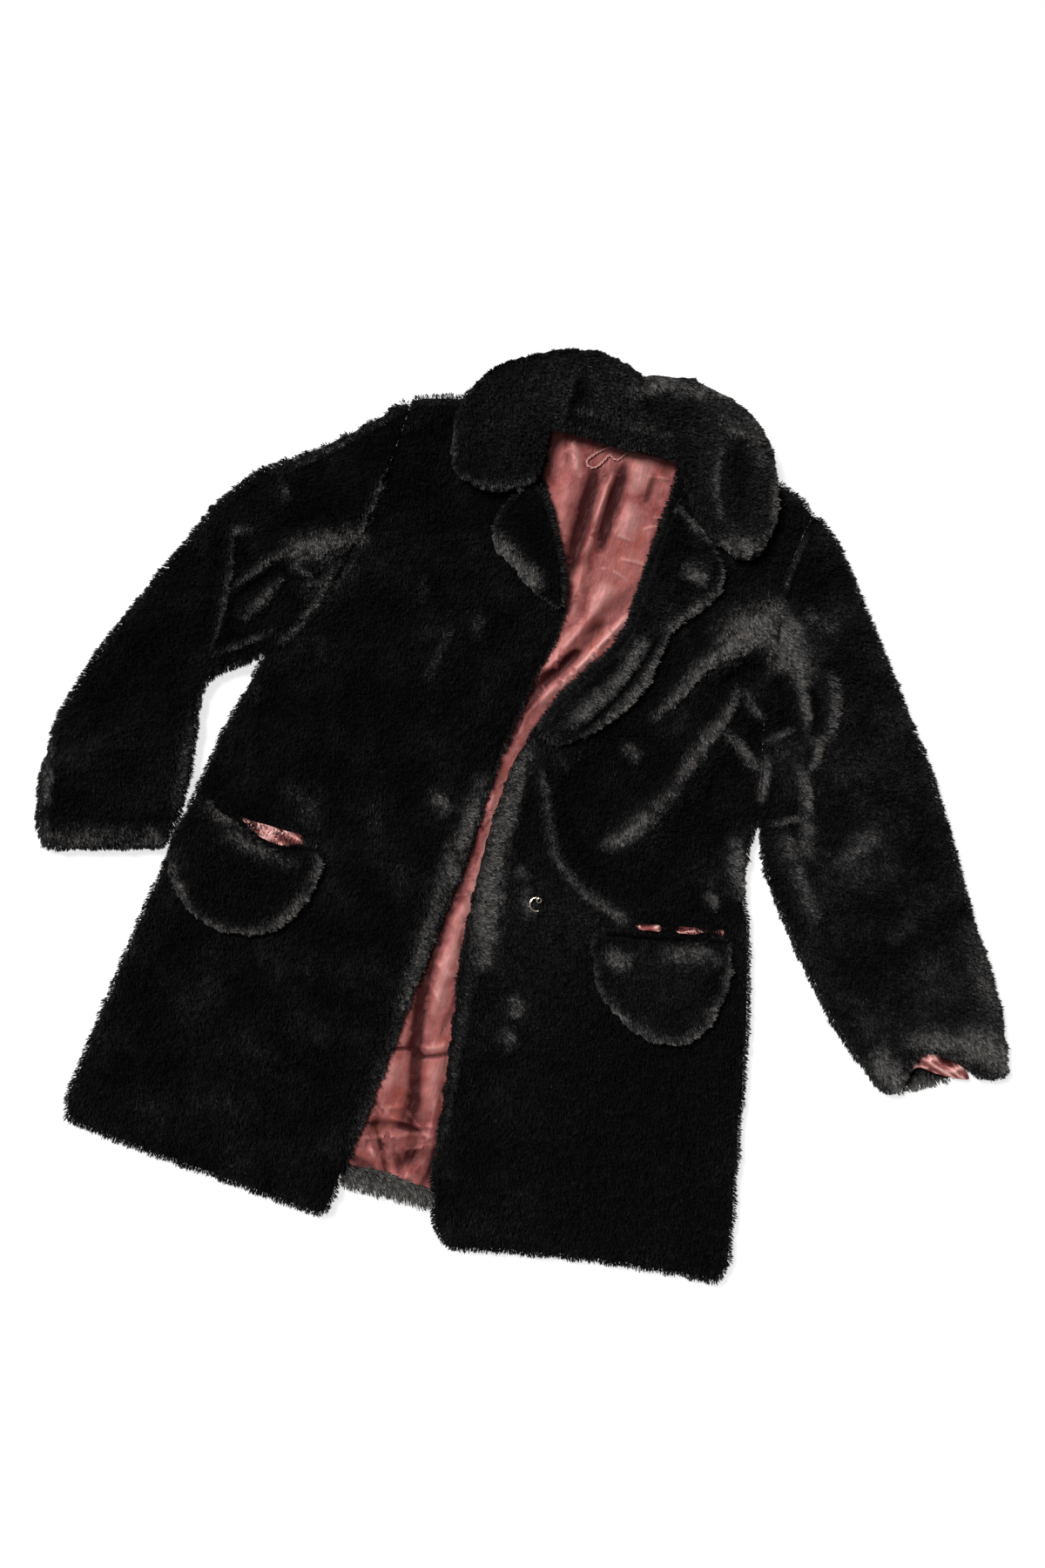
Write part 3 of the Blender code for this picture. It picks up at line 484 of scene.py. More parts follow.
class CoatSatin(bpy.types.PropertyGroup):
    cell: length_of("Net", "Step of the lining's net where it shows", 2.2)
    thickness: length_of("Thickness", "Thickness of the satin", 0.6)
    shade: colour_of("Satin", "Colour of the satin", "#6e3432")
    light: colour_of("Light satin", "Colour of its lighter clouds", "#8a5350")
    warm: colour_of("Warm satin", "Colour of its warm, worn places", "#863f35")
    # The next two colours are painted light: shade deep in the lining's pleats, and a highlight on
    # their crests.
    deep: colour_of("Pleated satin", "Colour of the satin deep in its pleats", "#2a0b0c")
    highlit: colour_of("Rubbed satin", "Colour of the satin where its ridges are rubbed", "#cb9a94")


class CoatTrims(bpy.types.PropertyGroup):
    strand: length_of("Strand", "Thickness of one strand of the hanging loop", 1.7)
    pitch: length_of("Twist", "Length of one turn of the hanging loop's twist", 9)
    plating: colour_of("Plating", "Colour of the hook's plating", "#e8dcc6")


class CoatStage(bpy.types.PropertyGroup):
    distance: bpy.props.FloatProperty(
        name="Camera height", description="Height of the camera above the floor",
        default=2.6, unit="LENGTH")
    key: bpy.props.FloatProperty(
        name="Key light", description="Strength of the soft key light", default=4.6)
    fill: bpy.props.FloatProperty(
        name="Fill", description="Strength of the even light from all round", default=0.22)
    glow: bpy.props.FloatProperty(
        name="Floor glow", description="Strength of the light table's own glow", default=0.75)
    floor: colour_of("Floor", "Colour of the unlit light table", "#9c9c9c")


# ---------------------------------------------------------------- materials

def fill(tree, node, inputs):
    """Fills a node's sockets with values, or links them to sockets or other nodes."""
    open_sockets = [s for s in node.inputs if s.enabled]
    for name, value in inputs.items():
        if isinstance(name, int):
            socket = open_sockets[name]
        else:
            socket = next(s for s in open_sockets if s.name == name)
        if isinstance(value, bpy.types.Node):
            value = out(value)
        if isinstance(value, bpy.types.NodeSocket):
            tree.links.new(value, socket)
        else:
            socket.default_value = value


def add_node(tree, kind, inputs=None, **settings):
    """A node with its settings and its filled sockets."""
    made = tree.nodes.new(kind)
    for name, value in settings.items():
        setattr(made, name, value)
    fill(tree, made, inputs or {})
    return made


def out(made):
    """A node's first enabled output."""
    return next(s for s in made.outputs if s.enabled)


def new_material(name):
    """A material of one Principled shader, what adds its nodes, and what fills the shader."""
    made = bpy.data.materials.new(name)
    made.use_nodes = True
    tree = made.node_tree
    tree.nodes.clear()
    shader = add_node(tree, "ShaderNodeBsdfPrincipled")
    add_node(tree, "ShaderNodeOutputMaterial", {"Surface": shader})
    return made, partial(add_node, tree), partial(fill, tree, shader)


def own_place(add):
    """The place on the piece itself, in metres."""
    return add("ShaderNodeTexCoord").outputs["Object"]


def ramp_of(add, value, *stops):
    """A colour ramp over a value, its stops places and colours."""
    made = add("ShaderNodeValToRGB", {"Fac": value})
    ramp = made.color_ramp
    while len(ramp.elements) < len(stops):
        ramp.elements.new(0.5)
    for element, (place, colour) in zip(ramp.elements, stops):
        element.position = place
        element.color = colour
    return made


def acrylic_pile():
    """Acrylic fibre, dyed in the mass and sheared to a plush.

    Each leaf's colour darkens towards its root, a painted shade for where light doesn't reach,
    and leaves differ a little. The tips are painted paler where the pile is stroked flat, a
    painted highlight, and darker where it stands up and at the rim, a painted shade. The fibre
    has a soft broad shine.
    """
    fur = bpy.context.scene.coat_fur
    made, add, finish = new_material("black acrylic pile")
    uv = add("ShaderNodeUVMap", uv_map=EXPORT_MAP)
    parts = add("ShaderNodeSeparateXYZ", {"Vector": uv})
    # Painted light: the tips run from painted shade, through the upright pile's colour, to the
    # painted highlight of stroked pile.
    tips = ramp_of(
        add, parts.outputs["Y"], (0.0, from_hex("#060505")), (0.5, fur.tip), (1.0, fur.stroked))
    colour = add(
        "ShaderNodeMix", {"Factor": parts.outputs["X"], "A": fur.root, "B": tips},
        data_type="RGBA")
    finish({"Base Color": colour, "Roughness": 0.6, "Specular IOR Level": 0.26})
    return made


def knitted_backing():
    """The knitted backing that the pile stands in: dull and dark, with courses 3 mm apart.

    Real courses are 1.5 mm apart, which is too fine to show.
    """
    made, add, finish = new_material("knitted pile backing")
    knit = add(
        "ShaderNodeTexWave",
        {"Vector": own_place(add), "Scale": 105.0, "Distortion": 2.0, "Detail": 1.0})
    colour = ramp_of(
        add, knit.outputs["Fac"],
        (0.0, from_hex("#020202")), (1.0, bpy.context.scene.coat_fur.backing))
    finish({"Base Color": colour, "Roughness": 0.9, "Specular IOR Level": 0.1})
    return made


def rose_satin():
    """Polyester satin: its long floats shine softly and broadly, over fine warp ribs.

    The clouds are 40 mm across, as the cloth wears and catches lint, and the small crumples
    of a thin lining are 4 mm. Its ribs are drawn 1.8 mm apart, because real ones of 0.3 mm
    are too fine to show. Deep in its pleats, where the floats turn away and little light
    comes, it is painted much darker, a painted shade, and its ridges are painted pale, a
    painted highlight.
    """
    satin = bpy.context.scene.coat_satin
    made, add, finish = new_material("rose polyester satin")
    spot = own_place(add)
    cloudy = add(
        "ShaderNodeTexNoise", {"Vector": spot, "Scale": 26.0, "Detail": 9.0, "Roughness": 0.68})
    colour = ramp_of(add, cloudy, (0.36, satin.shade), (0.52, satin.light), (0.7, satin.warm))
    pleat = add("ShaderNodeAttribute", attribute_name="pleat").outputs["Fac"]
    # Painted shade deep in the pleats, and a painted highlight on their crests, by the pleat
    # attribute.
    for end, other in ((0.0, satin.deep), (1.0, satin.highlit)):
        share = add(
            "ShaderNodeMapRange",
            {"Value": pleat, "From Min": 0.5, "From Max": end, "To Min": 0.0, "To Max": 1.0})
        colour = add(
            "ShaderNodeMix", {"Factor": share, "A": colour, "B": other}, data_type="RGBA")
    turned = add("ShaderNodeMapping", {"Vector": spot, "Rotation": (0, 0, math.radians(16))})
    weave = add(
        "ShaderNodeTexWave", {"Vector": turned, "Scale": 175.0, "Distortion": 3.0, "Detail": 2.0})
    stretched = add("ShaderNodeMapping", {"Vector": turned, "Scale": (1, 0.35, 1)})
    crumple = add("ShaderNodeTexNoise", {"Vector": stretched, "Scale": 230.0, "Detail": 6.0})
    crumpled = add("ShaderNodeBump", {"Height": crumple, "Strength": 0.8, "Distance": 1 * MM})
    ribbed = add(
        "ShaderNodeBump",
        {"Height": weave.outputs["Fac"], "Strength": 0.15, "Distance": 0.1 * MM,
         "Normal": crumpled})
    finish({
        "Base Color": colour, "Normal": ribbed, "Roughness": 0.5, "Metallic": 0.15,
        "Specular IOR Level": 0.2, "Specular Tint": from_hex("#e6b4ae"), "Sheen Weight": 0.06,
        "Sheen Roughness": 0.4, "Sheen Tint": from_hex("#d89a94")})
    return made


def plated_wire():
    """Drawn steel wire with a pale gold plating, worn a little duller in spots of 1 mm."""
    made, add, finish = new_material("pale gold plated wire")
    spots = add("ShaderNodeTexNoise", {"Vector": own_place(add), "Scale": 900.0, "Detail": 3.0})
    colour = ramp_of(
        add, spots, (0.3, from_hex("#b7a68a")), (0.6, bpy.context.scene.coat_trims.plating))
    finish({"Base Color": colour, "Metallic": 1.0, "Roughness": 0.28})
    return made


def light_table():
    """A mid-grey opal light table, whose even glow thins the shadows on it."""
    stage = bpy.context.scene.coat_stage
    made, add, finish = new_material("matt opal acrylic")
    cloudy = add("ShaderNodeTexNoise", {"Vector": own_place(add), "Scale": 1.5})
    colour = ramp_of(add, cloudy, (0.3, from_hex("#969696")), (0.7, stage.floor))
    finish({
        "Base Color": colour, "Roughness": 0.9, "Specular IOR Level": 0.1,
        "Emission Color": from_hex("#ffffff"), "Emission Strength": stage.glow})
    return made


MAKERS = {
    "pile": acrylic_pile, "backing": knitted_backing, "satin": rose_satin,
    "wire": plated_wire, "floor": light_table,
}
made_materials = {}


def material(name):
    """The one material of that kind, made when it is first asked for."""
    if name not in made_materials:
        made_materials[name] = MAKERS[name]()
    return made_materials[name]


# ---------------------------------------------------------------- shapes

def solid_of(node):
    """The mesh of a node's CAD solid."""
    return frame["nodes"][node].data


def merged(node):
    """A bmesh of a CAD node's surface, with its loose triangles joined."""
    shape = bmesh.new()
    shape.from_mesh(solid_of(node))
    bmesh.ops.remove_doubles(shape, verts=shape.verts[:], dist=1e-5)
    return shape


def new_piece(name, shape, finish):
    """An object of a finished bmesh, smooth, at the origin."""
    mesh = bpy.data.meshes.new(name)
    shape.to_mesh(mesh)
    shape.free()
    mesh.shade_smooth()
    mesh.materials.append(material(finish))
    made = bpy.data.objects.new(name, mesh)
    bpy.context.scene.collection.objects.link(made)
    return made


def soft_shell(name, node, finish, cell, rounds):
    """A node's form remeshed in small even faces, with its edges rounded off."""
    piece = new_piece(name, merged(node), finish)
    remesh = piece.modifiers.new("remesh", "REMESH")
    remesh.mode = "VOXEL"
    remesh.voxel_size = cell * MM
    relax = piece.modifiers.new("relax", "SMOOTH")
    relax.factor = 0.5
    relax.iterations = rounds
    apply_modifiers(piece)
    return piece


def apply_modifiers(piece):
    graph = bpy.context.evaluated_depsgraph_get()
    mesh = bpy.data.meshes.new_from_object(piece.evaluated_get(graph), depsgraph=graph)
    old = piece.data
    piece.modifiers.clear()
    piece.data = mesh
    bpy.data.meshes.remove(old)
    mesh.name = piece.name


def belong(piece, slot, *nodes):
    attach(piece, "root")
    if nodes:
        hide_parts(*nodes)


def read_places(mesh):
    """A mesh's corners in millimetres and its corners' normals, as arrays."""
    spots = np.empty(len(mesh.vertices) * 3)
    mesh.vertices.foreach_get("co", spots)
    normals = np.empty(len(mesh.vertices) * 3)
    mesh.vertex_normals.foreach_get("vector", normals)
    return spots.reshape(-1, 3) / MM, normals.reshape(-1, 3)


def write_places(mesh, spots):
    mesh.vertices.foreach_set("co", (spots * MM).ravel())
    mesh.update()


def write_field(mesh, name, values):
    mesh.attributes.new(name, "FLOAT", "POINT").data.foreach_set("value", values)


def read_field(mesh, name):
    values = np.empty(len(mesh.vertices))
    mesh.attributes[name].data.foreach_get("value", values)
    return values


def layered_noise(spots, layers, middle=0):
    return sum(
        (noise_over(spots, fine, shift) * strength for fine, shift, strength in layers), middle)


def noise_over(spots, per_metre, shift=0):
    """Smooth noise from -1 to 1 at each place of an array in millimetres."""
    step = per_metre * MM
    return np.array([
        noise.noise(Vector((x * step + shift, y * step, z * step))) for x, y, z in spots
    ])


def share_of_fold(fold, x, y):
    """How much of a fold is at each point, from 0 beyond it to 1 on the middle of its crest."""
    turn = math.radians(fold.turn)
    dx, dy = x - fold.x, y - fold.y
    along = (dx * math.cos(turn) + dy * math.sin(turn)) * 2 / fold.length
    taper = np.clip(1 - along**2, 0, 1)
    aside = dy * math.cos(turn) - dx * math.sin(turn) - fold.bow * taper
    width = fold.width * np.where(aside * fold.sharp > 0, SHARP, 1)
    return taper * np.exp(-((aside / width) ** 2))


def rise_of(folds, x, y):
    return sum((fold.height * share_of_fold(fold, x, y) for fold in folds), np.zeros_like(x))


def draw_places(pulls, spots):
    """Moves the corners near each drawn place of a table."""
    for pull in pulls:
        near = np.hypot(spots[:, 0] - pull.x, spots[:, 1] - pull.y) / pull.reach
        spots[:, :2] += np.exp(-(near**2))[:, None] * (pull.dx, pull.dy)


def tree_of(*meshes):
    """One search tree over the surfaces of some meshes."""
    corners, faces = [], []
    for mesh in meshes:
        start = len(corners)
        corners += [vert.co.copy() for vert in mesh.vertices]
        faces += [[start + n for n in face.vertices] for face in mesh.polygons]
    return BVHTree.FromPolygons(corners, faces)


def seam_at(own, others, spot, normal):
    """Whether a neighbour's side is close beside this one, and how far out this solid's is."""
    away = Vector((normal[0], normal[1], 0))
    if away.length < LEVEL_SIDE:
        return 0, 0
    start, reach = Vector(spot) * MM, SEAM_REACH * MM
    away.normalize()
    if all(tree.ray_cast(start, away, reach)[0] is None for tree in others):
        return 0, 0
    return 1, (own.ray_cast(start, away, reach)[3] or 0) / MM


# ---------------------------------------------------------------- fur panels

def build_cloths(nodes):
    """Dresses some fur panels in their backing."""
    trees = {node: tree_of(solid_of(node)) for node in PANELS}
    for node in nodes:
        dress(node, trees[node], [tree for other, tree in trees.items() if other != node])


def dress(node, own, others):
    """A fur panel's backing: a closed soft shell on its solid's form, creased and sunk."""
    panel = PANELS[node]
    piece = soft_shell(f"{node}_cloth", node, "backing", panel.cell, 6)
    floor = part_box(node)[0].z / MM
    resting = node in ON_SURFACE
    under = SINK_RESTING if resting else SINK_UNDER
    spots, normals = read_places(piece.data)
    seams, gaps = np.array(
        [seam_at(own, others, spot, way) for spot, way in zip(spots, normals)]).T
    share = np.clip((spots[:, 2] - floor) / FULL_DEPTH, 0, 1)
    rise = rise_of(panel.folds, spots[:, 0], spots[:, 1])
    lift = np.abs(rise) * (1 - share) if resting else rise * share
    lift -= SINK_TOP * np.clip(normals[:, 2], 0, 1) * share
    lift += under * np.clip(-normals[:, 2], 0, 1)
    level = np.hypot(normals[:, 0], normals[:, 1])
    aside = np.where(seams > 0, gaps / np.maximum(level, LEVEL_SIDE), -panel.sink)
    spots[:, :2] += normals[:, :2] * aside[:, None]
    draw_places(panel.pulls, spots)
    spots[:, 2] = np.maximum(spots[:, 2] + lift, floor + under)
    write_places(piece.data, spots)
    write_field(piece.data, "pile_seam", seams)
    if not resting:
        flatten_underside(piece.data, (floor + under) * MM)
    piece.data.shade_smooth()
    belong(piece, "faux_fur", node)


def flatten_underside(mesh, height):
    """Joins the faces of an underside that nothing shows, where they lie level."""
    shape = bmesh.new()
    shape.from_mesh(mesh)
    shape.normal_update()
    top = height + FLAT_UNDER * MM
    level = [vert for vert in shape.verts if vert.co.z < top and vert.normal.z < LEVEL_UNDER]
    for vert in level:
        vert.co.z = height
    chosen = set(level)
    edges = [edge for edge in shape.edges if edge.verts[0] in chosen and edge.verts[1] in chosen]
    bmesh.ops.dissolve_limit(shape, angle_limit=math.radians(1), verts=level, edges=edges)
    shape.to_mesh(mesh)
    shape.free()


# ---------------------------------------------------------------- pile

def density_at(vert, seam, resting, cover, fur):
    """How densely pile stands at a corner: fully where it shows, and thinly underneath."""
    spot, normal = vert.co, vert.normal
    if seam > SEWN and normal.z < FACES_DOWN:
        return 0.0
    start = spot + normal * MM
    if normal.z < UNDERSIDE:
        hidden = not resting or cover.ray_cast(start, -UP)[0] is not None
        return 0.0 if hidden else fur.under_share
    if cover.ray_cast(start, UP)[0] is None:
        return SIDE_SHARE if abs(normal.z) < OUTER_SIDE and seam < SEWN else 1.0
    if cover.ray_cast(spot + normal * fur.length, UP)[0] is None:
        return 1.0
    return RESTING_SHARE if resting and normal.z <= FACES_UP else 0.0


def nap_over(naps, x, y):
    """The level way that the pile lies at each point, eased between the places in a table."""
    total = np.zeros((len(x), 2))
    for nap in naps:
        near = 1 / ((x - nap.x) ** 2 + (y - nap.y) ** 2 + EASE)
        turn = math.radians(nap.turn)
        total += near[:, None] * (math.cos(turn), math.sin(turn))
    return total / np.linalg.norm(total, axis=1, keepdims=True)


def lay_pile(node, mesh, fur):
    """Writes the way that pile grows, its length and its shine at each corner of a cloth."""
    panel = PANELS[node]
    spots, normals = read_places(mesh)
    x, y = spots[:, 0], spots[:, 1]
    below = normals[:, 2] < UNDERSIDE
    seams = read_field(mesh, "pile_seam")
    rim = np.clip(1 - normals[:, 2] / RIM, 0, 1) * (1 - seams) * (1 - below)
    normals[:, 2] += SEAM_UP * seams
    swirl = layered_noise(spots, SWIRLS)
    ways = nap_over(panel.naps, x, y)
    ways = np.stack([
        ways[:, 0] * np.cos(swirl) - ways[:, 1] * np.sin(swirl),
        ways[:, 0] * np.sin(swirl) + ways[:, 1] * np.cos(swirl)], axis=1)
    patches = layered_noise(spots, PATCHES)
    slant = np.where(below, math.radians(UNDER_SLANT), fur.slant + patches)
    uneven = layered_noise(spots, RAGGED)
    # Painted shade: the tips are coloured darker where the pile stands up in patches, and at the
    # rim.
    shine = -PAINTED_SHADE * patches - PAINTED_SHADE * rim
    for fold in panel.folds:
        if not fold.slant:
            continue
        ragged = RAGGED_SHARE * min(1, fold.width / NARROW, BROAD / fold.width)
        share = np.clip(np.sqrt(share_of_fold(fold, x, y)) * (1 + ragged * uneven), 0, 1)
        turn = math.radians(fold.lean)
        ways = ways * (1 - share)[:, None] + share[:, None] * (math.cos(turn), math.sin(turn))
        slant += (math.radians(fold.slant) - slant) * share
        # Painted light: flat stroked pile gets a painted highlight on its tips, and steep pile
        # painted shade.
        glow = (UPRIGHT - fold.slant) / FULL_GLOW
        shine = np.maximum(shine, share * glow) if glow > 0 else shine + (glow - shine) * share
        normals[:, 2] += STROKED_UP * share * (glow > 0) * (1 - below)
    normals /= np.maximum(np.linalg.norm(normals, axis=1, keepdims=True), 1e-6)
    ways /= np.maximum(np.linalg.norm(ways, axis=1, keepdims=True), 1e-6)
    level = np.column_stack([ways, np.zeros(len(x))])
    into = np.clip((level * normals).sum(axis=1), None, 0)
    level -= normals * into[:, None]
    leans = level * np.cos(slant)[:, None] + normals * np.sin(slant)[:, None]
    leans /= np.linalg.norm(leans, axis=1, keepdims=True)
    write_field(mesh, "pile_shine", np.clip(shine, DARKEST, 1))
    lengths = layered_noise(spots, LENGTHS, 1) - RIM_TRIM * rim * panel.trimmed
    write_field(mesh, "pile_length", lengths)
    mesh.attributes.new("pile_lean", "FLOAT_VECTOR", "POINT").data.foreach_set(
        "vector", leans.ravel())


def build_leaves(fur):
    """Leaves of pile, from pointed to blunt, each one face, in a group to pick from.

    Each starts as a triangle at the root and is turned up on its end.
    """
    group = bpy.data.collections.new("leaves of pile")
    half, reach = fur.width / 2, fur.length
    for name, places, map_spots in (
        ("pointed", ((-half, 0, 0), (half, 0, 0), (0, 0, reach)),
         ((0.02, -0.01), (0.02, 0.01), (0.98, 0))),
        ("forked", ((0, 0, 0), (half, 0.06 * reach, 0.86 * reach), (-half, 0.06 * reach, reach)),
         ((0.02, 0), (0.9, 0.01), (0.98, -0.01))),
        ("bent", ((0, 0, 0), (half, 0.12 * reach, 0.72 * reach), (-half, 0.1 * reach, reach)),
         ((0.02, 0), (0.85, 0.01), (0.98, -0.01))),
    ):
        shape = bmesh.new()
        face = shape.faces.new([shape.verts.new(place) for place in places])
        layer = shape.loops.layers.uv.new(EXPORT_MAP)
        for loop, spot in zip(face.loops, map_spots):
            loop[layer].uv = spot
        mesh = bpy.data.meshes.new(name)
        shape.to_mesh(mesh)
        shape.free()
        mesh.materials.append(material("pile"))
        group.objects.link(bpy.data.objects.new(name, mesh))
    return group


def pile_nodes(leaves, fur):
    """The node group that grows pile on a cloth from its fields, as one mesh."""
    tree = bpy.data.node_groups.new("grow pile", "GeometryNodeTree")
    tree.interface.new_socket("Cloth", in_out="INPUT", socket_type="NodeSocketGeometry")
    seed = tree.interface.new_socket("Seed", in_out="INPUT", socket_type="NodeSocketInt")
    tree.interface.new_socket("Pile", in_out="OUTPUT", socket_type="NodeSocketGeometry")
    add = partial(add_node, tree)
    given = add("NodeGroupInput")

    def field(name, kind="FLOAT"):
        return add("GeometryNodeInputNamedAttribute", {"Name": name}, data_type=kind)

    def draw(low, high, number, kind="FLOAT"):
        return add(
            "FunctionNodeRandomValue", {"Min": low, "Max": high, "Seed": number}, data_type=kind)

    def sum_up(operation, *values):
        return add("ShaderNodeMath", dict(enumerate(values)), operation=operation)

    def combine(operation, *values):
        return add("ShaderNodeVectorMath", dict(enumerate(values)), operation=operation)

    # Points on the cloth, each with its own shade: a little random, plus the painted highlight of
    # stroked pile and the painted shade of upright pile and rims, both varying in clumps of 4 mm.
    shine = field("pile_shine")
    points = add(
        "GeometryNodeDistributePointsOnFaces",
        {"Mesh": given.outputs["Cloth"], "Seed": given.outputs["Seed"],
         "Density": sum_up("MULTIPLY", field("pile_density"), fur.density)})
    here = add("GeometryNodeInputPosition")
    clumps = add("ShaderNodeTexNoise", {"Vector": here, "Scale": 260.0, "Detail": 1.0})
    clumped = sum_up("MULTIPLY", shine, sum_up("MULTIPLY_ADD", clumps, 1.5, -0.28))
    shaded = add(
        "GeometryNodeStoreNamedAttribute",
        {"Geometry": points, "Name": "shade",
         "Value": sum_up("MAXIMUM", sum_up("ADD", clumped, draw(0.08, 0.44, 11)), 0.01)},
        data_type="FLOAT", domain="POINT")

    # How each leaf leans: as stroked, loose by itself, and tilted with its lock of 8 mm.
    locks = add("ShaderNodeTexNoise", {"Vector": here, "Scale": 130.0, "Detail": 1.0})
    tilt = combine(
        "MULTIPLY", combine("SUBTRACT", locks.outputs["Color"], (0.5, 0.5, 0.5)), (0.7, 0.7, 0.3))
    loose = combine(
        "ADD", field("pile_lean", "FLOAT_VECTOR"),
        draw((-0.2, -0.2, -0.14), (0.2, 0.2, 0.14), 12, "FLOAT_VECTOR"))
    grown = add(
        "FunctionNodeAlignRotationToVector", {"Vector": combine("ADD", loose, tilt)}, axis="Z")
    faced = add(
        "FunctionNodeAlignRotationToVector", {"Rotation": grown, "Vector": (0.0, 0.0, -1.0)},
        axis="Y", pivot_axis="Z")
    calm = sum_up("MULTIPLY_ADD", sum_up("MAXIMUM", shine, 0.0), -0.5, 1.0)
    twist = add(
        "FunctionNodeAxisAngleToRotation",
        {"Axis": (0.0, 0.0, 1.0),
         "Angle": sum_up("MULTIPLY", calm, draw(math.radians(-48), math.radians(48), 13))})
    turned = add(
        "FunctionNodeRotateRotation", {"Rotation": faced, "Rotate By": twist},
        rotation_space="LOCAL")

    # One of the leaves on each point, longer in the middle of its clump, kept off the floor.
    kinds = add(
        "GeometryNodeCollectionInfo",
        {"Collection": leaves, "Separate Children": True, "Reset Children": True})
    reach = sum_up(
        "MULTIPLY", sum_up("MULTIPLY", field("pile_length"), draw(0.75, 1.1, 14)),
        sum_up("MULTIPLY_ADD", clumps, 1.1, 0.45))
    size = add("ShaderNodeCombineXYZ", {"X": draw(0.7, 1.25, 15), "Y": reach, "Z": reach})
    planted = add(
        "GeometryNodeInstanceOnPoints",
        {"Points": shaded, "Instance": kinds, "Pick Instance": True,
         "Instance Index": draw(0, 2, 16, "INT"), "Rotation": turned, "Scale": size})
    real = add("GeometryNodeRealizeInstances", {"Geometry": planted})
    above = combine("MAXIMUM", here, (-10.0, -10.0, 0.3 * MM))
    placed = add("GeometryNodeSetPosition", {"Geometry": real, "Position": above})
    aside = add("ShaderNodeCombineXYZ", {"Y": field("shade")})
    drawn = add(
        "GeometryNodeStoreNamedAttribute",
        {"Geometry": placed, "Name": EXPORT_MAP,
         "Value": combine(
             "MINIMUM", combine("ADD", field(EXPORT_MAP, "FLOAT_VECTOR"), aside),
             (1.0, 0.99, 1.0))},
        data_type="FLOAT2", domain="CORNER")
    add("NodeGroupOutput", {"Pile": drawn})
    return tree, seed.identifier


def sow(node, piece):
    """A finer copy of a cloth, of the faces that pile stands on, with how it grows there."""
    name = f"{node}_pile"
    shape = bmesh.new()
    shape.from_mesh(piece.data)
    layer = shape.verts.layers.float["pile_density"]
    bare = [face for face in shape.faces if not any(vert[layer] for vert in face.verts)]
    bmesh.ops.delete(shape, geom=bare, context="FACES")
    sown = new_piece(name, shape, "pile")
    finer = sown.modifiers.new("finer", "SUBSURF")
    finer.subdivision_type = "SIMPLE"
    finer.levels = finer.render_levels = 1
    apply_modifiers(sown)
    lay_pile(node, sown.data, bpy.context.scene.coat_fur)
    return sown


def build_pile(fur):
    cloths = {node: bpy.data.objects[f"{node}_cloth"] for node in PANELS}
    satins = [bpy.data.objects["back_lining_satin"], bpy.data.objects["cuff_lining_left_satin"]]
    cover = tree_of(*(piece.data for piece in (*cloths.values(), *satins)))
    leaves = build_leaves(fur)
    nodes, seed_name = pile_nodes(leaves, fur)
    for number, (node, piece) in enumerate(cloths.items()):
        panel, mesh = PANELS[node], piece.data
        seams = read_field(mesh, "pile_seam")
        write_field(mesh, "pile_density", [
            density_at(vert, seam, node in ON_SURFACE, cover, fur)
            for vert, seam in zip(mesh.vertices, seams)
        ])
        sown = sow(node, piece)
        grower = sown.modifiers.new("grow", "NODES")
        grower.node_group = nodes
        grower[seed_name] = number
        apply_modifiers(sown)
        for done in (mesh, sown.data):
            for name in ("pile_seam", "pile_density", "pile_shine", "pile_length", "pile_lean",
                         "shade"):
                if name in done.attributes:
                    done.attributes.remove(done.attributes[name])
        belong(sown, "faux_fur")
    for leaf in list(leaves.objects):
        bpy.data.objects.remove(leaf, do_unlink=True)
    bpy.data.collections.remove(leaves)
    bpy.data.node_groups.remove(nodes)


# ---------------------------------------------------------------- satin

def cut_across(shape, step, turn):
    """Cuts a flat shape into squares of a step, turned about the vertical."""
    for angle in (turn, turn + math.pi / 2):
        across = Vector((math.cos(angle), math.sin(angle), 0))
        reach = [vert.co.dot(across) for vert in shape.verts]
        for n in range(1, int((max(reach) - min(reach)) / step) + 1):
            bmesh.ops.bisect_plane(
                shape, geom=shape.verts[:] + shape.edges[:] + shape.faces[:],
                dist=1e-6, plane_co=across * (min(reach) + n * step), plane_no=across)


def build_lining(satin):
    """The back lining: a thin sheet, pleated where it shows, and flat under the fronts."""
    shape = merged("back_lining")
    shape.normal_update()
    others = [face for face in shape.faces if face.normal.z < 0.5]
    bmesh.ops.delete(shape, geom=others, context="FACES")
    cut_across(shape, satin.cell * 4, math.radians(-16))
    upper = [node for node in PANELS if node not in ON_SURFACE]
    above = tree_of(*(solid_of(node) for node in (*upper, "hanging_loop")))
    shown = {
        edge for face in shape.faces if above.ray_cast(face.calc_center_median(), UP)[0] is None
        for edge in face.edges
    }
    bmesh.ops.subdivide_edges(shape, edges=list(shown), cuts=3, use_grid_fill=True)
    lay_pleats(shape, above)
    piece = new_piece("back_lining_satin", shape, "satin")
    spots = read_places(piece.data)[0]
    draw_places(LINING_PULLS, spots)
    write_places(piece.data, spots)
    solid = piece.modifiers.new("thick", "SOLIDIFY")
    solid.thickness = satin.thickness
    solid.offset = -1
    apply_modifiers(piece)
    belong(piece, "satin_lining", "back_lining")


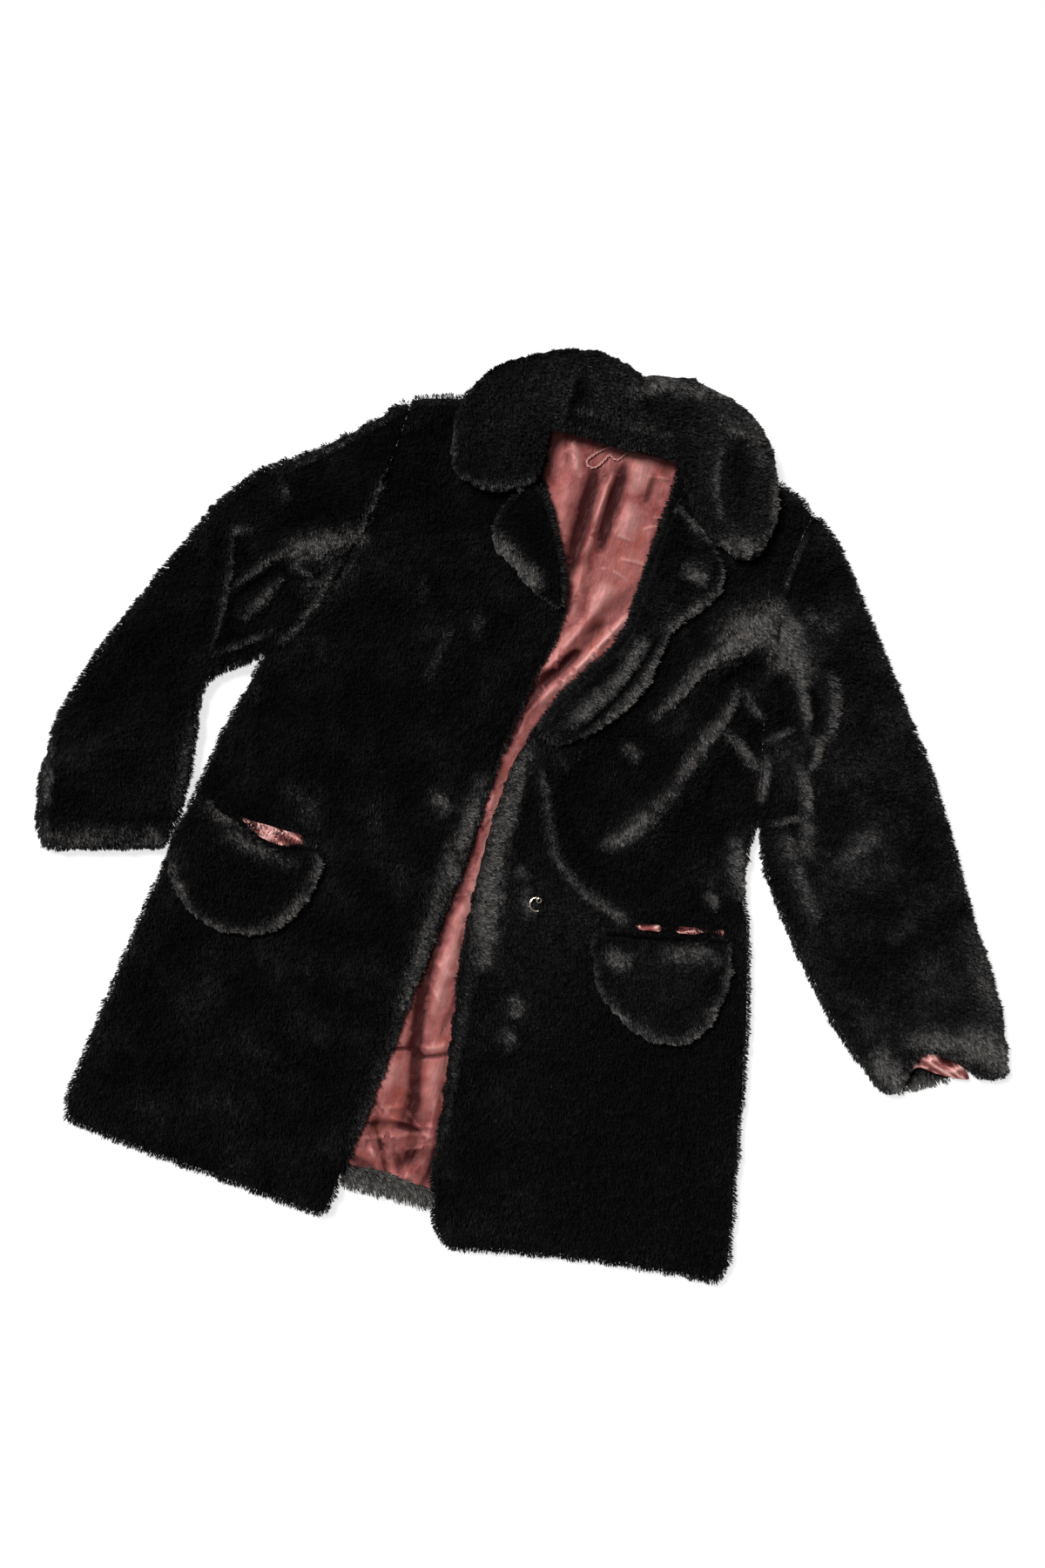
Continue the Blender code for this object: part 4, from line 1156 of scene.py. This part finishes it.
def lay_pleats(shape, above):
    """Raises the lining's pleats as far as what lies above lets them, and paints shade and
    highlights on their satin, over a little random worn tone.
    """
    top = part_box("back_lining")[1].z
    spots = np.array([vert.co for vert in shape.verts]) / MM
    x, y = spots[:, 0], spots[:, 1]
    rise = layered_noise(spots, RUMPLES, RUMPLE_MIDDLE)
    wear = layered_noise(spots, WORN)
    for pleat in PLEATS:
        share = share_of_fold(pleat, x, y)
        rise += share * pleat.height
        steep = DARK_STEEPNESS if pleat.wear < 0 else 1.0
        wear += np.clip(steep * np.sqrt(share) - UNPAINTED_SHARE, 0, 1) * pleat.wear
    # The pleat attribute carries the painted shade and painted highlight of the pleats, with a
    # little random worn tone.
    layer = shape.verts.layers.float.new("pleat")
    for vert, height, worn in zip(shape.verts, rise, np.clip(wear, -1, 1)):
        spot = Vector((vert.co.x, vert.co.y, top))
        room = TIGHT
        if above.ray_cast(spot, UP)[0] is None:
            gap = above.find_nearest(spot + UP * ROOM_FROM * MM)[3] / MM
            room += ROOM_GAIN * max(gap - CLEAR, 0)
        vert.co.z = top + min(max(height, DEEPEST_DIP), room, PLEAT_REACH) * MM
        vert[layer] = 0.5 + worn / 2


def creases_over(spots, turn):
    """Sharp crests and soft hollows from about -1 to 1, drawn out along a turn."""
    angle = math.radians(turn)
    along = spots[:, 0] * math.cos(angle) + spots[:, 1] * math.sin(angle)
    aside = spots[:, 1] * math.cos(angle) - spots[:, 0] * math.sin(angle)
    laid = np.column_stack([along * CREASE_LENGTH, aside, spots[:, 2] * CREASE_LENGTH])
    creases = 1
    for fine, shift, strength in CREASES:
        creases = creases - strength * np.abs(noise_over(laid, fine, shift))
    return creases


def build_small_linings():
    """The crumpled linings that show in the left cuff and in the pocket mouths."""
    for node, small in SMALL_LININGS.items():
        piece = soft_shell(f"{node}_satin", node, "satin", SMALL_CELL, 3)
        spots, normals = read_places(piece.data)
        low, high = spots.min(axis=0), spots.max(axis=0)
        along = (spots[:, 0] * 2 - low[0] - high[0]) / (high[0] - low[0])
        thin = rise_of(small.thin, spots[:, 0], spots[:, 1])
        draw_places(small.pulls, spots)
        sag = small.sag * np.clip(-normals[:, 1], 0, 1) * np.clip(1 - along**2, 0, 1)
        spots[:, :2] += normals[:, :2] * (small.swell + sag - thin)[:, None]
        creases = creases_over(spots, small.turn)
        above = (creases * CREASE_HEIGHT - small.drop) * np.clip(normals[:, 2], 0, 1)
        above -= THINNED * thin
        spots[:, 2] = np.maximum(spots[:, 2] + above, low[2] - FURTHEST_DOWN)
        write_places(piece.data, spots)
        # Painted highlight on the creases' crests, and painted shade in their hollows.
        write_field(piece.data, "pleat", np.clip(0.55 + creases * CREASE_PAINTED_LIGHT, 0, 1))
        piece.data.shade_smooth()
        belong(piece, "satin_lining", node)


def smooth_route(corners, per_span):
    """Points along a smooth line through some corners."""
    padded = [corners[0], *corners, corners[-1]]
    points = []
    for n in range(len(corners) - 1):
        a, b, c, d = padded[n : n + 4]
        for step in range(per_span):
            t = step / per_span
            points.append(0.5 * (
                2 * b + (c - a) * t + (2 * a - 5 * b + 4 * c - d) * t**2
                + (3 * b - a - 3 * c + d) * t**3))
    return [*points, corners[-1]]


def build_loop(trims):
    """The hanging loop: two satin strands twisted round each other."""
    route = smooth_route([Vector((x, y, LOOP_HEIGHT)) * MM for x, y in LOOP_ROUTE], 8)
    shape = bmesh.new()
    for phase in (0, math.pi):
        curve = bpy.data.curves.new("strand", "CURVE")
        curve.dimensions = "3D"
        curve.bevel_depth = trims.strand / 2
        curve.bevel_resolution = 2
        curve.use_fill_caps = True
        line = curve.splines.new("POLY")
        line.points.add(len(route) - 1)
        run = 0
        for n, (knot, spot) in enumerate(zip(line.points, route)):
            before, after = route[max(n - 1, 0)], route[min(n + 1, len(route) - 1)]
            run += (spot - before).length
            side = (after - before).normalized().cross(UP)
            turn = phase + run / trims.pitch * 2 * math.pi
            offset = side * math.cos(turn) + UP * math.sin(turn)
            knot.co = (*(spot + offset * trims.strand * STRAND_OFFSET), 1)
        strand = bpy.data.objects.new("strand", curve)
        mesh = bpy.data.meshes.new_from_object(strand)
        shape.from_mesh(mesh)
        bpy.data.meshes.remove(mesh)
        bpy.data.objects.remove(strand)
        bpy.data.curves.remove(curve)
    loop = new_piece("hanging_loop_satin", shape, "satin")
    # The loop's satin is mixed halfway to the painted crest highlight colour all over.
    write_field(loop.data, "pleat", np.full(len(loop.data.vertices), 0.75))
    belong(loop, "satin_lining", "hanging_loop")


def finish_hook():
    """The hook's solid is right as it is, and gets its plating."""
    mesh = solid_of("fur_hook")
    mesh.materials.clear()
    mesh.materials.append(material("wire"))


# ---------------------------------------------------------------- stage

def build_stage(stage):
    shape = bmesh.new()
    bmesh.ops.create_grid(shape, x_segments=1, y_segments=1, size=FLOOR_REACH)
    floor = new_piece("floor", shape, "floor")

    sun = bpy.data.lights.new("key", "SUN")
    sun.energy = stage.key
    sun.angle = math.radians(22)
    lamp = bpy.data.objects.new("key", sun)
    lamp.rotation_euler = Vector(LIGHT_FROM).to_track_quat("Z", "Y").to_euler()
    bpy.context.scene.collection.objects.link(lamp)

    world = bpy.data.worlds.new("studio")
    world.use_nodes = True
    back = world.node_tree.nodes["Background"]
    back.inputs["Color"].default_value = from_hex("#ffffff")
    back.inputs["Strength"].default_value = stage.fill
    bpy.context.scene.world = world
    bpy.context.scene.view_settings.view_transform = "Standard"

    view = bpy.data.cameras.new("camera")
    view.sensor_width = SENSOR
    view.lens = SENSOR * (stage.distance - FRAMED_HEIGHT) / FRAMED
    camera = bpy.data.objects.new("camera", view)
    camera.location = (*FRAMED_MIDDLE, stage.distance)
    bpy.context.scene.collection.objects.link(camera)
    bpy.context.scene.camera = camera


# ---------------------------------------------------------------- operators

class COAT_OT_body(bpy.types.Operator):
    """Build the backing of the back, the hem and the two fronts"""
    bl_idname = "coat.body"
    bl_label = "Body panels"

    def execute(self, context):
        build_cloths(BODY)
        return {"FINISHED"}


class COAT_OT_sleeves(bpy.types.Operator):
    """Build the backing of both sleeves, upper and under"""
    bl_idname = "coat.sleeves"
    bl_label = "Sleeves"

    def execute(self, context):
        build_cloths(SLEEVES)
        return {"FINISHED"}


class COAT_OT_collar(bpy.types.Operator):
    """Build the backing of the collar, the under collar and the lapels"""
    bl_idname = "coat.collar"
    bl_label = "Collar and lapels"

    def execute(self, context):
        build_cloths(COLLAR)
        return {"FINISHED"}


class COAT_OT_pockets(bpy.types.Operator):
    """Build the backing of the two patch pockets"""
    bl_idname = "coat.pockets"
    bl_label = "Pockets"

    def execute(self, context):
        build_cloths(POCKETS)
        return {"FINISHED"}


class COAT_OT_pile(bpy.types.Operator):
    """Grow the pile on every fur panel, once the panels and linings are built"""
    bl_idname = "coat.pile"
    bl_label = "Pile"

    def execute(self, context):
        build_pile(context.scene.coat_fur)
        return {"FINISHED"}


class COAT_OT_lining(bpy.types.Operator):
    """Build the satin lining of the back"""
    bl_idname = "coat.lining"
    bl_label = "Back lining"

    def execute(self, context):
        build_lining(context.scene.coat_satin)
        return {"FINISHED"}


class COAT_OT_small_linings(bpy.types.Operator):
    """Build the linings that show in the cuff and the pocket mouths"""
    bl_idname = "coat.small_linings"
    bl_label = "Cuff and pocket linings"

    def execute(self, context):
        build_small_linings()
        return {"FINISHED"}


class COAT_OT_loop(bpy.types.Operator):
    """Build the twisted hanging loop"""
    bl_idname = "coat.loop"
    bl_label = "Hanging loop"

    def execute(self, context):
        build_loop(context.scene.coat_trims)
        return {"FINISHED"}


class COAT_OT_hook(bpy.types.Operator):
    """Give the fur hook its plating"""
    bl_idname = "coat.hook"
    bl_label = "Fur hook"

    def execute(self, context):
        finish_hook()
        return {"FINISHED"}


class COAT_OT_stage(bpy.types.Operator):
    """Set the floor, the lights and the camera"""
    bl_idname = "coat.stage"
    bl_label = "Stage"

    def execute(self, context):
        build_stage(context.scene.coat_stage)
        return {"FINISHED"}


STEPS = (
    COAT_OT_body, COAT_OT_sleeves, COAT_OT_collar, COAT_OT_pockets, COAT_OT_lining,
    COAT_OT_small_linings, COAT_OT_loop, COAT_OT_pile, COAT_OT_hook, COAT_OT_stage,
)
GROUPS = {
    "coat_fur": CoatFur, "coat_satin": CoatSatin, "coat_trims": CoatTrims, "coat_stage": CoatStage,
}


class COAT_PT_panel(bpy.types.Panel):
    bl_label = "Fur Coat"
    bl_space_type = "VIEW_3D"
    bl_region_type = "UI"
    bl_category = "Fur Coat"

    def draw(self, context):
        for name, kind in GROUPS.items():
            for value in kind.__annotations__:
                self.layout.prop(getattr(context.scene, name), value)
        for step in STEPS:
            self.layout.operator(step.bl_idname)


def register():
    for kind in (*GROUPS.values(), *STEPS, COAT_PT_panel):
        bpy.utils.register_class(kind)
    for name, kind in GROUPS.items():
        setattr(bpy.types.Scene, name, bpy.props.PointerProperty(type=kind))


def unregister():
    for name in GROUPS:
        delattr(bpy.types.Scene, name)
    for kind in (COAT_PT_panel, *reversed(STEPS), *reversed(GROUPS.values())):
        bpy.utils.unregister_class(kind)


def main():
    register()
    bpy.ops.coat.body()
    bpy.ops.coat.sleeves()
    bpy.ops.coat.collar()
    bpy.ops.coat.pockets()
    bpy.ops.coat.lining()
    bpy.ops.coat.small_linings()
    bpy.ops.coat.loop()
    bpy.ops.coat.pile()
    bpy.ops.coat.hook()
    bpy.ops.coat.stage()


if __name__ == "__main__":
    main()
